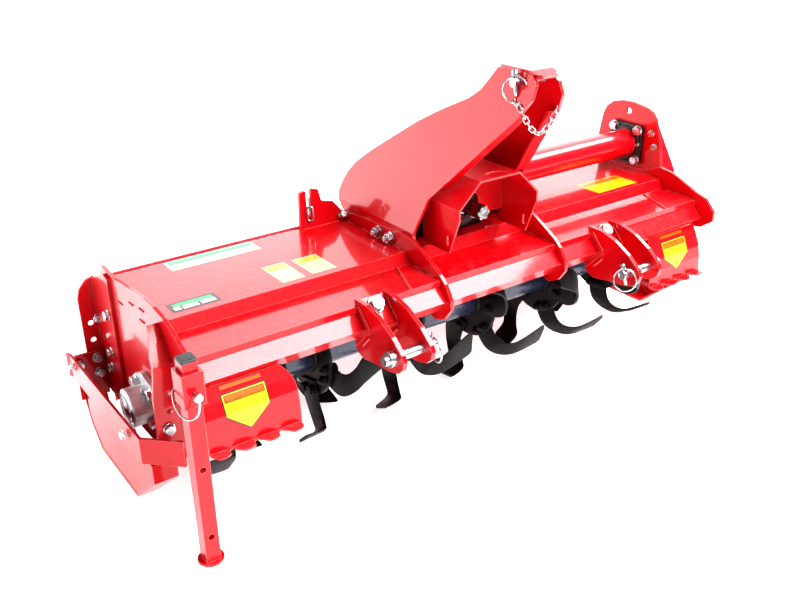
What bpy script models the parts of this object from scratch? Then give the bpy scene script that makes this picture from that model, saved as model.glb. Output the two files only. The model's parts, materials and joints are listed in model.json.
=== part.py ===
"""PTO rotary tiller, standing on its two skids and its parking leg.

X runs across the machine, the tractor hitches on at -Y and +Z is up.
Sizes are in millimetres and become metres when a mesh is made.
"""
import math

import bmesh
import bpy
from mathutils import Vector
from mathutils.geometry import convex_hull_2d

MM = 0.001

# ---- overall sizes -------------------------------------------------------
WORK_WIDTH = 1449.0        # between the inner faces of the two side plates
SIDE_T = 8.0               # side plate
GAP = 0.3                  # seat between two separate touching pieces
RUN = 0.45                 # a turning shaft in its bore
DECK_Z = 426.0             # top of the deck's rear panel
DECK_T = 3.5
DECK_REAR_Y = 148.0
DECK_FOLD_Y = -119.0
STEP_Y = -132.0
STEP_DROP = 25.5
DECK_FRONT_Y = -244.0
DECK_LIP = 13.0
BEAM_SIZE = 55.0           # square tube, set on its edge
BEAM_WALL = 5.0
BEAM_Y = -230.5
BEAM_CLEAR = 2.11          # beam's top edge under the deck's front panel
BEAM_Z = DECK_Z - STEP_DROP - DECK_T - BEAM_CLEAR - BEAM_SIZE / math.sqrt(2.0)

# ---- rotor ---------------------------------------------------------------
ROTOR_Y = -30.0
ROTOR_Z = 210.0
ROTOR_R = 200.0
ROTOR_TUBE_R = 48.0
ROTOR_END_CLEAR = 12.0
STUB_R = 22.0
KNIFE_DISCS = 6
KNIVES_PER_DISC = 6
KNIFE_T = 7.0
KNIFE_W = 64.0
KNIFE_FOOT = 90.0
DISC_R = 108.0
DISC_T = 9.0

# ---- drive ---------------------------------------------------------------
DRIVE_X = 28.0             # input shaft, gearbox and mast centre
DRIVE_Y = 10.0
DRIVE_Z = DECK_Z + 74.0
CROSS_R = 38.0
FLANGE = 110.0
FLANGE_T = 10.0
INPUT_R = 17.4
INPUT_JOURNAL_R = 22.0
INPUT_TIP_Y = -188.0
SPLINE_LENGTH = 76.0
GEARBOX_HALF = 92.0
NECK_REACH = 124.0         # gearbox's front neck, from the cross shaft
GUARD_HALF = 113.0
GUARD_T = 4.0
GUARD_FRONT_Y = -240.0
SLOT_R = 37.0
CASE_DEPTH = 59.0
CASE_UPPER_R = 66.0
CASE_LOWER_R = 96.0
IDLER_Y = -16.0            # the wide middle gear bulges the case forward
IDLER_RISE = 35.0          # idler above the middle of the two shafts
IDLER_Z = (ROTOR_Z + DRIVE_Z) / 2.0 + IDLER_RISE
CASE_IDLER_R = 103.0
DRIVE_PLATE_T = 8.0
DRIVE_PLATE_RISE = 114.0

# ---- hitch ---------------------------------------------------------------
LOWER_SPREAD = 683.0
LOWER_Y = -370.0
LOWER_Z = BEAM_Z - 20.0
LOWER_PIN_R = 11.0
EAR_GAP = 60.0
EAR_T = 10.0
TOP_PIN_Y = -320.0
TOP_PIN_Z = DECK_Z + 396.0
TOP_PIN_R = 9.5
TOP_GAP = 54.0
MAST_T = 8.0
RIB_T = 8.0
RIB_LEFT_X = -135.5
RIB_RIGHT_X = 209.5

# ---- stands and guards ---------------------------------------------------
LEG = 30.0
LEG_PLAY = 0.5
LEG_SEAT = 0.5
LEG_Y = -312.0
LEG_HEAD = 19.0            # stands above its sleeve
FOOT_R = 26.0
FOOT_T = 4.0
SLEEVE = 42.0
SLEEVE_TOP = DECK_Z - 4.0
SLEEVE_BOTTOM = DECK_Z - 71.0
CASE_SHIFT = 55.0          # the right skid stands this much further out, past the gear case
SKID_T = 6.0
SKID_IN = 13.5             # from the side plate's outer face
SKID_OUT = 65.0
BRACKET_OUT = 45.5
BRACKET_T = 7.0
FRONT_BRACKET_Y = -174.5
REAR_BRACKET_Y = 243.0
STRAP_T = 6.0
STRAP_OUT = 78.0
STRAP_LOW = 156.0
STRAP_HIGH = 214.0
HINGE_Y = 160.0
HINGE_Z = DECK_Z - 8.0
HINGE_ROD_R = 6.0
GATE_T = 3.0
GATE_SIDE_CLEAR = 8.0
KNUCKLE_R = 11.0
SHIELD_T = 3.0
SHIELD_W = 200.0
SHIELD_EDGE = 3.0          # clear of the side plate
SHIELD_ROUND = 62.0
SHIELD_FRONT_Y = -285.0
SHIELD_LIP_Z = 211.0
SHIELD_TEETH = 4
TOOTH_W = 38.0

HALF = WORK_WIDTH / 2.0
OUTER = HALF + SIDE_T
LEG_X = -(OUTER + LEG_SEAT + SLEEVE / 2.0)

PAINT = (0.78, 0.015, 0.03, 1.0)
DARK = (0.02, 0.022, 0.03, 1.0)
ZINC = (0.75, 0.76, 0.78, 1.0)
CAST = (0.62, 0.64, 0.66, 1.0)
STEEL = (0.45, 0.45, 0.46, 1.0)


# ---- helpers -------------------------------------------------------------
def clear_scene():
    for obj in list(bpy.data.objects):
        bpy.data.objects.remove(obj, do_unlink=True)


def material(name, colour, rough, metal):
    mat = bpy.data.materials.new(name)
    mat.use_nodes = True
    shader = mat.node_tree.nodes["Principled BSDF"]
    shader.inputs["Base Color"].default_value = colour
    shader.inputs["Roughness"].default_value = rough
    shader.inputs["Metallic"].default_value = metal
    return mat


def link(name, bm, mat):
    """Turn a bmesh in millimetres into an object in metres."""
    bmesh.ops.recalc_face_normals(bm, faces=bm.faces)
    bmesh.ops.scale(bm, vec=(MM, MM, MM), verts=bm.verts)
    mesh = bpy.data.meshes.new(name)
    bm.to_mesh(mesh)
    bm.free()
    obj = bpy.data.objects.new(name, mesh)
    obj.data.materials.append(mat)
    bpy.context.collection.objects.link(obj)
    return obj


def prism(name, outline, axis, low, high, mat):
    """Extrude a closed 2-D outline from low to high along one axis."""
    bm = bmesh.new()
    rings = []
    for level in (low, high):
        ring = []
        for u, v in outline:
            point = {"x": (level, u, v), "y": (u, level, v), "z": (u, v, level)}[axis]
            ring.append(bm.verts.new(point))
        rings.append(ring)
    bm.faces.new(rings[0])
    bm.faces.new(list(reversed(rings[1])))
    count = len(outline)
    for i in range(count):
        j = (i + 1) % count
        bm.faces.new((rings[0][i], rings[1][i], rings[1][j], rings[0][j]))
    return link(name, bm, mat)


def above(base, points):
    """Outline points given as (y, height over a base)."""
    return [(y, base + rise) for y, rise in points]


def circle(cu, cv, radius, segments, start=0.0, sweep=360.0):
    closed = abs(sweep) >= 360.0
    steps = segments if closed else segments + 1
    points = []
    for i in range(steps):
        a = math.radians(start + sweep * i / segments)
        points.append((cu + radius * math.cos(a), cv + radius * math.sin(a)))
    return points


def rod(name, axis, centre, radius, low, high, mat, segments=28):
    return prism(name, circle(centre[0], centre[1], radius, segments), axis, low, high, mat)


def box(name, low, high, mat):
    outline = [(low[0], low[1]), (high[0], low[1]), (high[0], high[1]), (low[0], high[1])]
    return prism(name, outline, "z", low[2], high[2], mat)


def strip(points, thickness):
    """Closed outline of a sheet of one thickness centred on a polyline."""
    left, right = [], []
    for i, point in enumerate(points):
        here = Vector(point)
        before = (here - Vector(points[i - 1])).normalized() if i else None
        after = (Vector(points[i + 1]) - here).normalized() if i + 1 < len(points) else None
        if before is None:
            normal = Vector((-after.y, after.x))
        elif after is None:
            normal = Vector((-before.y, before.x))
        else:
            first = Vector((-before.y, before.x))
            second = Vector((-after.y, after.x))
            normal = (first + second).normalized()
            normal /= max(0.3, normal.dot(first))
        left.append(tuple(here + normal * thickness / 2.0))
        right.append(tuple(here - normal * thickness / 2.0))
    return left + list(reversed(right))


def rounded(points, radius, steps=4):
    """Round the corners of a closed outline."""
    result = []
    count = len(points)
    for i in range(count):
        here = Vector(points[i])
        before = Vector(points[i - 1]) - here
        after = Vector(points[(i + 1) % count]) - here
        angle = before.angle(after)
        if angle > math.radians(165.0):
            result.append(tuple(here))
            continue
        cut = radius / math.tan(angle / 2.0)
        cut = min(cut, before.length * 0.45, after.length * 0.45)
        true_radius = cut * math.tan(angle / 2.0)
        middle = (before.normalized() + after.normalized()).normalized()
        centre = here + middle * (true_radius / math.sin(angle / 2.0))
        start = here + before.normalized() * cut - centre
        end = here + after.normalized() * cut - centre
        turn = start.angle_signed(end)
        for k in range(steps + 1):
            a = -turn * k / steps
            x = start.x * math.cos(a) - start.y * math.sin(a)
            y = start.x * math.sin(a) + start.y * math.cos(a)
            result.append((centre.x + x, centre.y + y))
    return result


def combine(target, other, operation):
    """Apply one exact boolean and drop the second object."""
    mod = target.modifiers.new("combine", "BOOLEAN")
    mod.operation = operation
    mod.solver = "EXACT"
    mod.object = other
    graph = bpy.context.evaluated_depsgraph_get()
    graph.update()
    mesh = bpy.data.meshes.new_from_object(target.evaluated_get(graph))
    target.modifiers.clear()
    target.data = mesh
    bpy.data.objects.remove(other, do_unlink=True)
    return target


def join(target, *others):
    for other in others:
        combine(target, other, "UNION")
    return target


def cut(target, *others):
    for other in others:
        combine(target, other, "DIFFERENCE")
    return target


def set_origin(obj, point):
    """Move an object's origin to a point given in millimetres."""
    offset = Vector(point) * MM
    for vertex in obj.data.vertices:
        vertex.co -= offset
    obj.location = offset


def smooth(obj):
    obj.data.shade_smooth()
    obj.data.set_sharp_from_angle(angle=math.radians(35.0))


# ---- frame ---------------------------------------------------------------
def deck(red):
    top = [
        (DECK_REAR_Y, DECK_Z),
        (DECK_FOLD_Y, DECK_Z),
        (STEP_Y, DECK_Z - STEP_DROP),
        (DECK_FRONT_Y, DECK_Z - STEP_DROP - 1.5),
        (DECK_FRONT_Y, DECK_Z - STEP_DROP - 1.5 - DECK_LIP),
    ]
    half = DECK_T / 2.0
    line = [
        (top[0][0], top[0][1] - half),
        (top[1][0], top[1][1] - half),
        (top[2][0], top[2][1] - half),
        (top[3][0] + half, top[3][1] - half),
        (top[4][0] + half, top[4][1]),
    ]
    return prism("deck", strip(line, DECK_T), "x", -HALF + GAP, HALF - GAP, red)


def diamond(size):
    k = size / math.sqrt(2.0)
    return [(BEAM_Y - k, BEAM_Z), (BEAM_Y, BEAM_Z - k), (BEAM_Y + k, BEAM_Z), (BEAM_Y, BEAM_Z + k)]


def front_beam(red):
    reach = HALF - GAP
    beam = prism("front_beam", diamond(BEAM_SIZE), "x", -reach, reach, red)
    bore = prism("bore", diamond(BEAM_SIZE - 2.0 * BEAM_WALL), "x", -reach - 5.0, reach + 5.0, red)
    return cut(beam, bore)


def side_outline(dip):
    crest = [(109.0, 12.0), (60.0, 20.0), (-63.0, 32.0), (-113.0, 32.0)]
    if dip:
        crest[1:3] = [(84.0, 11.0), (-52.0, 11.0)]
    top = above(DECK_Z, [(175.0, 18.0)] + crest + [
        (-159.0, 26.0), (-184.0, 17.0), (-240.0, -6.0), (-275.0, -16.0), (-305.0, -47.0),
        (-305.0, -72.0), (-271.0, -97.0), (-190.0, -108.0), (-178.0, -126.0),
    ])
    foot = [
        (-178.0, 150.0), (-150.0, 118.0), (-60.0, 100.0), (60.0, 96.0), (150.0, 112.0),
        (212.0, 160.0), (239.0, 200.0),
    ]
    return top + foot + above(DECK_Z, [(239.0, -96.0), (205.0, -21.0)])


def side_plate(name, side, red):
    low, high = sorted((side * HALF, side * OUTER))
    plate = prism(name, side_outline(side > 0), "x", low, high, red)
    hole = rod("hole", "x", (ROTOR_Y, ROTOR_Z), STUB_R + 8.0, low - 5.0, high + 5.0, red)
    rod_hole = rod("hole", "x", (HINGE_Y, HINGE_Z), HINGE_ROD_R + GAP, low - 5.0, high + 5.0, red)
    return cut(plate, hole, rod_hole)


def rib(name, x, red):
    k = BEAM_SIZE / math.sqrt(2.0)
    crest = above(DECK_Z, [
        (DECK_REAR_Y - 1.0, 20.0), (100.0, 26.0), (52.0, 30.0), (-30.0, 32.0), (-93.0, 38.0),
        (-146.0, 33.0), (-196.0, 8.0), (-240.0, -16.0), (-260.0, -32.0),
    ])
    lug = above(BEAM_Z, [
        (BEAM_Y - k - 11.6, 6.0), (BEAM_Y - k - 11.6, -16.0), (BEAM_Y - k + 9.4, -k - 5.1),
        (BEAM_Y + 0.5, -k - 19.1), (BEAM_Y + 18.5, -k - 15.1), (BEAM_Y + 24.5, -k + 4.9),
    ])
    k += 0.5
    inside = [
        (BEAM_Y + 24.5, DECK_Z - STEP_DROP + GAP),
        (STEP_Y - 1.5, DECK_Z - STEP_DROP + GAP), (DECK_FOLD_Y - 1.5, DECK_Z + GAP),
        (DECK_REAR_Y - 1.0, DECK_Z + GAP),
    ]
    plate = prism(name, crest + lug + inside, "x", x - RIB_T / 2.0, x + RIB_T / 2.0, red)
    notch = [
        (BEAM_Y - k, BEAM_Z), (BEAM_Y, BEAM_Z - k), (BEAM_Y + k, BEAM_Z),
        (BEAM_Y + k, DECK_Z - STEP_DROP + GAP), (DECK_FRONT_Y - GAP, DECK_Z - STEP_DROP + GAP),
        (DECK_FRONT_Y - GAP, BEAM_Z + (DECK_FRONT_Y - GAP - BEAM_Y + k)),
    ]
    slot = prism("notch", notch, "x", x - RIB_T, x + RIB_T, red)
    return cut(plate, slot)


# ---- mast ----------------------------------------------------------------
MAST_FOLD_Z = DECK_Z + 44.0
MAST_FOOT_Z = DECK_Z + 3.0
MAST_TOP_Z = DECK_Z + 414.0


def mast_x(side, z):
    """Inner face of a mast flank: upright at its foot, then leaning in."""
    foot = (RIB_LEFT_X + RIB_T / 2.0 + GAP) if side < 0 else (RIB_RIGHT_X - RIB_T / 2.0 - GAP)
    foot -= side * MAST_T
    head = DRIVE_X + side * TOP_GAP / 2.0
    if z <= MAST_FOLD_Z:
        return foot
    return foot + (head - foot) * (z - MAST_FOLD_Z) / (TOP_PIN_Z - MAST_FOLD_Z)


def mast_flank(name, side, red):
    outline = above(DECK_Z, [
        (-133.0, 3.0), (-133.0, 44.0), (-150.0, 121.0), (-345.0, 330.0), (-368.0, 366.0),
        (-368.0, 396.0), (-352.0, 412.0), (-330.0, 414.0), (-251.0, 414.0), (-237.0, 392.0),
        (-218.0, 364.0), (-190.0, 343.0), (-110.0, 304.0), (-50.0, 271.0), (7.0, 234.0),
        (95.0, 175.0), (140.0, 140.0), (163.0, 113.0), (176.0, 86.0), (181.0, 60.0),
        (175.0, 44.0), (145.0, 3.0),
    ])
    bm = bmesh.new()
    verts = [bm.verts.new((0.0, y, z)) for y, z in outline]
    bm.faces.new(verts)
    extruded = bmesh.ops.extrude_face_region(bm, geom=bm.faces[:])
    moved = [v for v in extruded["geom"] if isinstance(v, bmesh.types.BMVert)]
    bmesh.ops.translate(bm, vec=(side * MAST_T, 0.0, 0.0), verts=moved)
    bmesh.ops.bisect_plane(
        bm, geom=bm.verts[:] + bm.edges[:] + bm.faces[:],
        plane_co=(0.0, 0.0, MAST_FOLD_Z), plane_no=(0.0, 0.0, 1.0), dist=0.01,
    )
    for vertex in bm.verts:
        vertex.co.x += mast_x(side, vertex.co.z)
    flank = link(name, bm, red)
    lip_line = above(DECK_Z, [(-178.0, 151.0), (-345.0, 330.0)])
    flank = join(flank, mast_lip(side, lip_line, red))
    bore = rod("bore", "x", (TOP_PIN_Y, TOP_PIN_Z), TOP_PIN_R + GAP, -200.0, 300.0, red)
    flank = cut(flank, bore)
    if side > 0:
        hole = rod("hole", "x", (DRIVE_Y, DRIVE_Z), CROSS_R + 2.0, 100.0, 300.0, red)
        flank = cut(flank, hole)
    return flank


def mast_lip(side, line, red, width=24.0, thickness=6.0):
    """Flange folded inward along the flank's front edge."""
    bm = bmesh.new()
    rings = []
    for i, (y, z) in enumerate(line):
        outer = mast_x(side, z) + side * 2.0
        inner = mast_x(side, z) - side * width
        rings.append([
            bm.verts.new((outer, y, z)), bm.verts.new((inner, y, z)),
            bm.verts.new((inner, y + thickness, z)), bm.verts.new((outer, y + thickness, z)),
        ])
    bm.faces.new(rings[0])
    bm.faces.new(list(reversed(rings[-1])))
    for first, second in zip(rings, rings[1:]):
        for i in range(4):
            j = (i + 1) % 4
            bm.faces.new((first[i], second[i], second[j], first[j]))
    return link("lip", bm, red)


def mast_roof(red):
    low = mast_x(-1, MAST_TOP_Z) - MAST_T
    high = mast_x(1, MAST_TOP_Z) + MAST_T
    outline = [
        (-258.0, MAST_TOP_Z + GAP), (-345.0, MAST_TOP_Z + GAP), (-372.0, MAST_TOP_Z - 8.0),
        (-376.0, MAST_TOP_Z - 3.0), (-348.0, MAST_TOP_Z + GAP + 6.0), (-258.0, MAST_TOP_Z + GAP + 6.0),
    ]
    roof = prism("mast_roof", outline, "x", low, high, red)
    keep = [
        (-400.0, MAST_TOP_Z - 40.0), (-352.5, MAST_TOP_Z - 40.0),
        (-352.5, MAST_TOP_Z + GAP), (-400.0, MAST_TOP_Z + GAP),
    ]
    for side in (-1, 1):
        a = mast_x(side, MAST_TOP_Z) - side * GAP
        b = a + side * 40.0
        notch = prism("notch", keep, "x", min(a, b), max(a, b), red)
        roof = cut(roof, notch)
    return roof


def top_pin(zinc):
    low = DRIVE_X - TOP_GAP / 2.0 - 26.0
    high = DRIVE_X + TOP_GAP / 2.0 + 22.0
    pin = rod("top_pin", "x", (TOP_PIN_Y, TOP_PIN_Z), TOP_PIN_R, low, high, zinc)
    smooth(pin)
    return pin


# ---- lower hitch ---------------------------------------------------------
def hitch(name, x, red):
    """Two ears and a clamp plate that grip the beam from in front."""
    k = BEAM_SIZE / math.sqrt(2.0)
    ear = above(BEAM_Z, [
        (-232.0, 56.0), (-272.0, 56.0), (-318.0, 44.0), (-362.0, 21.0), (-396.0, -6.0),
        (-402.0, -20.0), (-397.0, -38.0), (-384.0, -50.0), (-366.0, -56.0), (-345.0, -60.0),
        (-307.0, -63.0), (-262.0, -k - 32.0), (-240.0, -k - 25.0), (-232.0, -k - 15.0),
    ])
    body = None
    for side in (-1, 1):
        inner = x + side * EAR_GAP / 2.0
        outer = inner + side * EAR_T
        low, high = sorted((inner, outer))
        plate = prism(name, ear, "x", low, high, red)
        body = plate if body is None else join(body, plate)
    wide = EAR_GAP / 2.0 + EAR_T + 1.0
    upper = [(BEAM_Y - k - 10.0, BEAM_Z - 8.0), (BEAM_Y - 4.0, BEAM_Z + k - 2.0),
             (BEAM_Y - 4.0, BEAM_Z + k + 13.0), (BEAM_Y - k - 18.0, BEAM_Z - 3.0)]
    lower = [(BEAM_Y - k - 10.0, BEAM_Z + 8.0), (BEAM_Y - k - 18.0, BEAM_Z + 3.0),
             (BEAM_Y - 4.0, BEAM_Z - k - 13.0), (BEAM_Y - 4.0, BEAM_Z - k + 2.0)]
    for part in (upper, lower):
        plate = prism("clamp", part, "x", x - wide, x + wide, red)
        body = join(body, plate)
    clear = 0.35
    notch = [
        (BEAM_Y - k - clear, BEAM_Z), (BEAM_Y, BEAM_Z - k - clear), (BEAM_Y + 60.0, BEAM_Z - k - clear),
        (BEAM_Y + 60.0, DECK_Z - STEP_DROP + GAP),
        (DECK_FRONT_Y - GAP, DECK_Z - STEP_DROP + GAP),
        (DECK_FRONT_Y - GAP, BEAM_Z + (DECK_FRONT_Y - GAP - BEAM_Y + k + clear)),
    ]
    body = cut(body, prism("notch", notch, "x", x - 100.0, x + 100.0, red))
    bore = rod("bore", "x", (LOWER_Y, LOWER_Z), LOWER_PIN_R + GAP, x - 90.0, x + 90.0, red)
    return cut(body, bore)


def lower_pin(name, x, head, zinc):
    """Draft pin with a collar against one ear and its tail past the other."""
    span = EAR_GAP / 2.0 + EAR_T
    pin = rod(name, "x", (LOWER_Y, LOWER_Z), LOWER_PIN_R, x - span - 26.0, x + span + 22.0, zinc)
    low, high = sorted((x + head * (span + GAP), x + head * (span + 15.0)))
    collar = rod("collar", "x", (LOWER_Y, LOWER_Z), LOWER_PIN_R + 6.0, low, high, zinc)
    pin = join(pin, collar)
    smooth(pin)
    return pin


# ---- drive ---------------------------------------------------------------
def gearbox(red):
    floor = DECK_Z + GAP
    h = GEARBOX_HALF
    outline = rounded([
        (DRIVE_X - h, floor), (DRIVE_X + h, floor), (DRIVE_X + h, DRIVE_Z + 70.0),
        (DRIVE_X + h - 30.0, DRIVE_Z + h + 4.0), (DRIVE_X - h + 30.0, DRIVE_Z + h + 4.0),
        (DRIVE_X - h, DRIVE_Z + 70.0),
    ], 14.0, 2)
    body = prism("gearbox", outline, "y", DRIVE_Y - 92.0, DRIVE_Y + 92.0, red)
    neck = rod("neck", "y", (DRIVE_X, DRIVE_Z), 52.0, DRIVE_Y - NECK_REACH, DRIVE_Y - 80.0, red)
    cover = rod("cover", "y", (DRIVE_X, DRIVE_Z), 56.0, DRIVE_Y + 80.0, DRIVE_Y + 104.0, red)
    body = join(body, neck, cover)
    bore = rod("bore", "y", (DRIVE_X, DRIVE_Z), INPUT_JOURNAL_R + RUN, DRIVE_Y - 140.0, DRIVE_Y - 70.0, red)
    body = cut(body, bore)
    smooth(body)
    return body


def input_shaft(steel):
    outline = []
    for i in range(6):
        a = 60.0 * i
        for da, r in ((-12.0, INPUT_R), (12.0, INPUT_R), (18.0, INPUT_R - 3.0), (42.0, INPUT_R - 3.0)):
            t = math.radians(a + da)
            outline.append((DRIVE_X + r * math.cos(t), DRIVE_Z + r * math.sin(t)))
    shaft = prism("input_shaft", outline, "y", INPUT_TIP_Y, INPUT_TIP_Y + SPLINE_LENGTH, steel)
    inner = DRIVE_Y - 74.0
    start = INPUT_TIP_Y + SPLINE_LENGTH - 6.0
    journal = rod("journal", "y", (DRIVE_X, DRIVE_Z), INPUT_JOURNAL_R, start, inner, steel)
    shaft = join(shaft, journal)
    smooth(shaft)
    set_origin(shaft, (DRIVE_X, INPUT_TIP_Y, DRIVE_Z))
    return shaft


def cross_tube(red):
    """Shaft housing from the gearbox to the drive plate, with its square flange."""
    start = DRIVE_X + GEARBOX_HALF + GAP
    end = OUTER - GAP
    tube = rod("cross_tube", "x", (DRIVE_Y, DRIVE_Z), CROSS_R, start, end - 2.0, red, 40)
    neck = rod("neck", "x", (DRIVE_Y, DRIVE_Z), CROSS_R + 16.0, start, start + 12.0, red, 32)
    h = FLANGE / 2.0
    square = rounded([
        (DRIVE_Y - h, DRIVE_Z - h), (DRIVE_Y + h, DRIVE_Z - h),
        (DRIVE_Y + h, DRIVE_Z + h), (DRIVE_Y - h, DRIVE_Z + h),
    ], 10.0, 2)
    flange = prism("flange", square, "x", end - FLANGE_T, end, red)
    tube = join(tube, neck, flange)
    smooth(tube)
    return tube


def hull_outline(circles, segments=40):
    """Tightest outline around several (y, z, radius) circles."""
    points = []
    for y, z, radius in circles:
        points += [Vector(p) for p in circle(y, z, radius, segments)]
    return [tuple(points[i]) for i in convex_hull_2d(points)]


def gear_case(red):
    start = OUTER + GAP + DRIVE_PLATE_T + GAP
    outline = hull_outline([
        (ROTOR_Y, ROTOR_Z, CASE_LOWER_R),
        (IDLER_Y, IDLER_Z, CASE_IDLER_R),
        (DRIVE_Y, DRIVE_Z, CASE_UPPER_R),
    ])
    case = prism("gear_case", outline, "x", start, start + CASE_DEPTH, red)
    bore = rod("bore", "x", (ROTOR_Y, ROTOR_Z), STUB_R + RUN, start - 5.0, start + 30.0, red)
    case = cut(case, bore)
    smooth(case)
    return case


def drive_plate(red):
    """Tall plate that carries the cross tube and closes the gear case."""
    start = OUTER + GAP
    head = above(DRIVE_Z, [
        (106.0, -80.0), (119.0, 3.0), (113.0, 40.0), (107.0, 66.0), (96.0, 88.0), (74.0, 104.0),
        (40.0, 112.0), (5.0, DRIVE_PLATE_RISE), (-45.0, 107.0), (-66.0, 98.0), (-80.0, 81.0),
        (-92.0, 48.0), (-103.0, 8.0), (-116.0, -60.0),
    ])
    foot = above(ROTOR_Z, [
        (-128.0, 30.0), (-126.0, -20.0), (-108.0, -62.0), (-74.0, -90.0), (-30.0, -98.0),
        (14.0, -90.0), (48.0, -62.0), (68.0, -20.0), (84.0, 90.0),
    ])
    outline = head + foot
    plate = prism("drive_plate", outline, "x", start, start + DRIVE_PLATE_T, red)
    hole = rod("hole", "x", (ROTOR_Y, ROTOR_Z), STUB_R + 8.0, start - 5.0, start + 20.0, red)
    lift = rod("lift", "x", (16.0, DRIVE_Z + 87.0), 9.0, start - 5.0, start + 20.0, red)
    return cut(plate, hole, lift)


def bearing_housing(cast):
    """Cast rotor bearing on the outside of the left plate."""
    start = -OUTER - GAP
    flange_line = rounded([
        (ROTOR_Y - 52.0, ROTOR_Z - 40.0), (ROTOR_Y + 52.0, ROTOR_Z - 48.0),
        (ROTOR_Y + 58.0, ROTOR_Z + 44.0), (ROTOR_Y + 10.0, ROTOR_Z + 66.0),
        (ROTOR_Y - 56.0, ROTOR_Z + 52.0),
    ], 16.0, 3)
    body = prism("bearing_housing", flange_line, "x", start - 12.0, start, cast)
    hub = rod("hub", "x", (ROTOR_Y, ROTOR_Z), 42.0, start - 52.0, start - 4.0, cast)
    body = join(body, hub)
    bore = rod("bore", "x", (ROTOR_Y, ROTOR_Z), STUB_R + RUN, start - 42.0, start + 5.0, cast)
    body = cut(body, bore)
    smooth(body)
    return body


# ---- rotor ---------------------------------------------------------------
def rotor_tube(dark, axis):
    reach = HALF - ROTOR_END_CLEAR
    tube = rod("rotor_tube", "x", (ROTOR_Y, ROTOR_Z), ROTOR_TUBE_R, -reach, reach, dark, 32)
    left = rod("stub", "x", (ROTOR_Y, ROTOR_Z), STUB_R, -OUTER - 40.0, -reach + 6.0, dark)
    right = rod("stub", "x", (ROTOR_Y, ROTOR_Z), STUB_R, reach - 6.0, OUTER + 34.0, dark)
    tube = join(tube, left, right)
    smooth(tube)
    set_origin(tube, (0.0, ROTOR_Y, ROTOR_Z))
    tube.parent = axis
    tube.location = (0.0, 0.0, 0.0)
    return tube


def knife(disc_x, side, angle, dark):
    """One L-shaped knife: a curved arm beside the disc and a foot across."""
    bm = bmesh.new()
    a0 = disc_x + side * (DISC_T / 2.0 - 1.0)
    tip = ROTOR_R - 5.5
    stations = [
        (tip - 124.5, 0.0, 0.0), (tip - 76.5, 0.0, 0.0), (tip - 44.5, -5.0, 2.0),
        (tip - 18.5, -14.0, 14.0), (tip - 3.5, -23.0, 34.0), (tip, -31.0, KNIFE_FOOT),
    ]
    rings = []
    for i, (radius, lean, across) in enumerate(stations):
        if i < 3:
            normal = (1.0, 0.0)
        elif i == 3:
            normal = (0.8, -0.6)
        elif i == 4:
            normal = (0.3, -0.95)
        else:
            normal = (0.0, -1.0)
        wide = KNIFE_W if i < 3 else KNIFE_W - 4.0
        ring = []
        for chord, depth in ((-0.5, 0.0), (0.5, 0.0), (0.5, 1.0), (-0.5, 1.0)):
            turn = lean / 180.0
            tangent = chord * wide
            r = radius + normal[1] * depth * KNIFE_T
            x = a0 + side * (across + normal[0] * depth * KNIFE_T)
            a = math.radians(angle) + turn
            out = math.sqrt(max(1.0, r * r - tangent * tangent)) if i >= 3 else r
            y = out * math.cos(a) - tangent * math.sin(a)
            z = out * math.sin(a) + tangent * math.cos(a)
            ring.append(bm.verts.new((x, ROTOR_Y + y, ROTOR_Z + z)))
        rings.append(ring)
    bm.faces.new(rings[0])
    bm.faces.new(list(reversed(rings[-1])))
    for first, second in zip(rings, rings[1:]):
        for i in range(4):
            j = (i + 1) % 4
            bm.faces.new((first[i], second[i], second[j], first[j]))
    bmesh.ops.triangulate(bm, faces=bm.faces)
    return link("knife", bm, dark)


def knife_disc(index, dark, axis):
    pitch = (WORK_WIDTH - 2.0 * (ROTOR_END_CLEAR + KNIFE_FOOT + 22.0)) / (KNIFE_DISCS - 1)
    x = -HALF + ROTOR_END_CLEAR + KNIFE_FOOT + 22.0 + pitch * index
    name = "rotor_knives_%d" % (index + 1)
    disc = rod(name, "x", (ROTOR_Y, ROTOR_Z), DISC_R, x - DISC_T / 2.0, x + DISC_T / 2.0, dark, 24)
    bore = rod("bore", "x", (ROTOR_Y, ROTOR_Z), ROTOR_TUBE_R + GAP, x - 20.0, x + 20.0, dark, 32)
    disc = cut(disc, bore)
    for k in range(KNIVES_PER_DISC):
        side = 1 if k % 2 else -1
        angle = 360.0 * k / KNIVES_PER_DISC + 17.0 * index
        disc = join(disc, knife(x, side, angle, dark))
    set_origin(disc, (0.0, ROTOR_Y, ROTOR_Z))
    disc.parent = axis
    disc.location = (0.0, 0.0, 0.0)
    return disc


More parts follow.
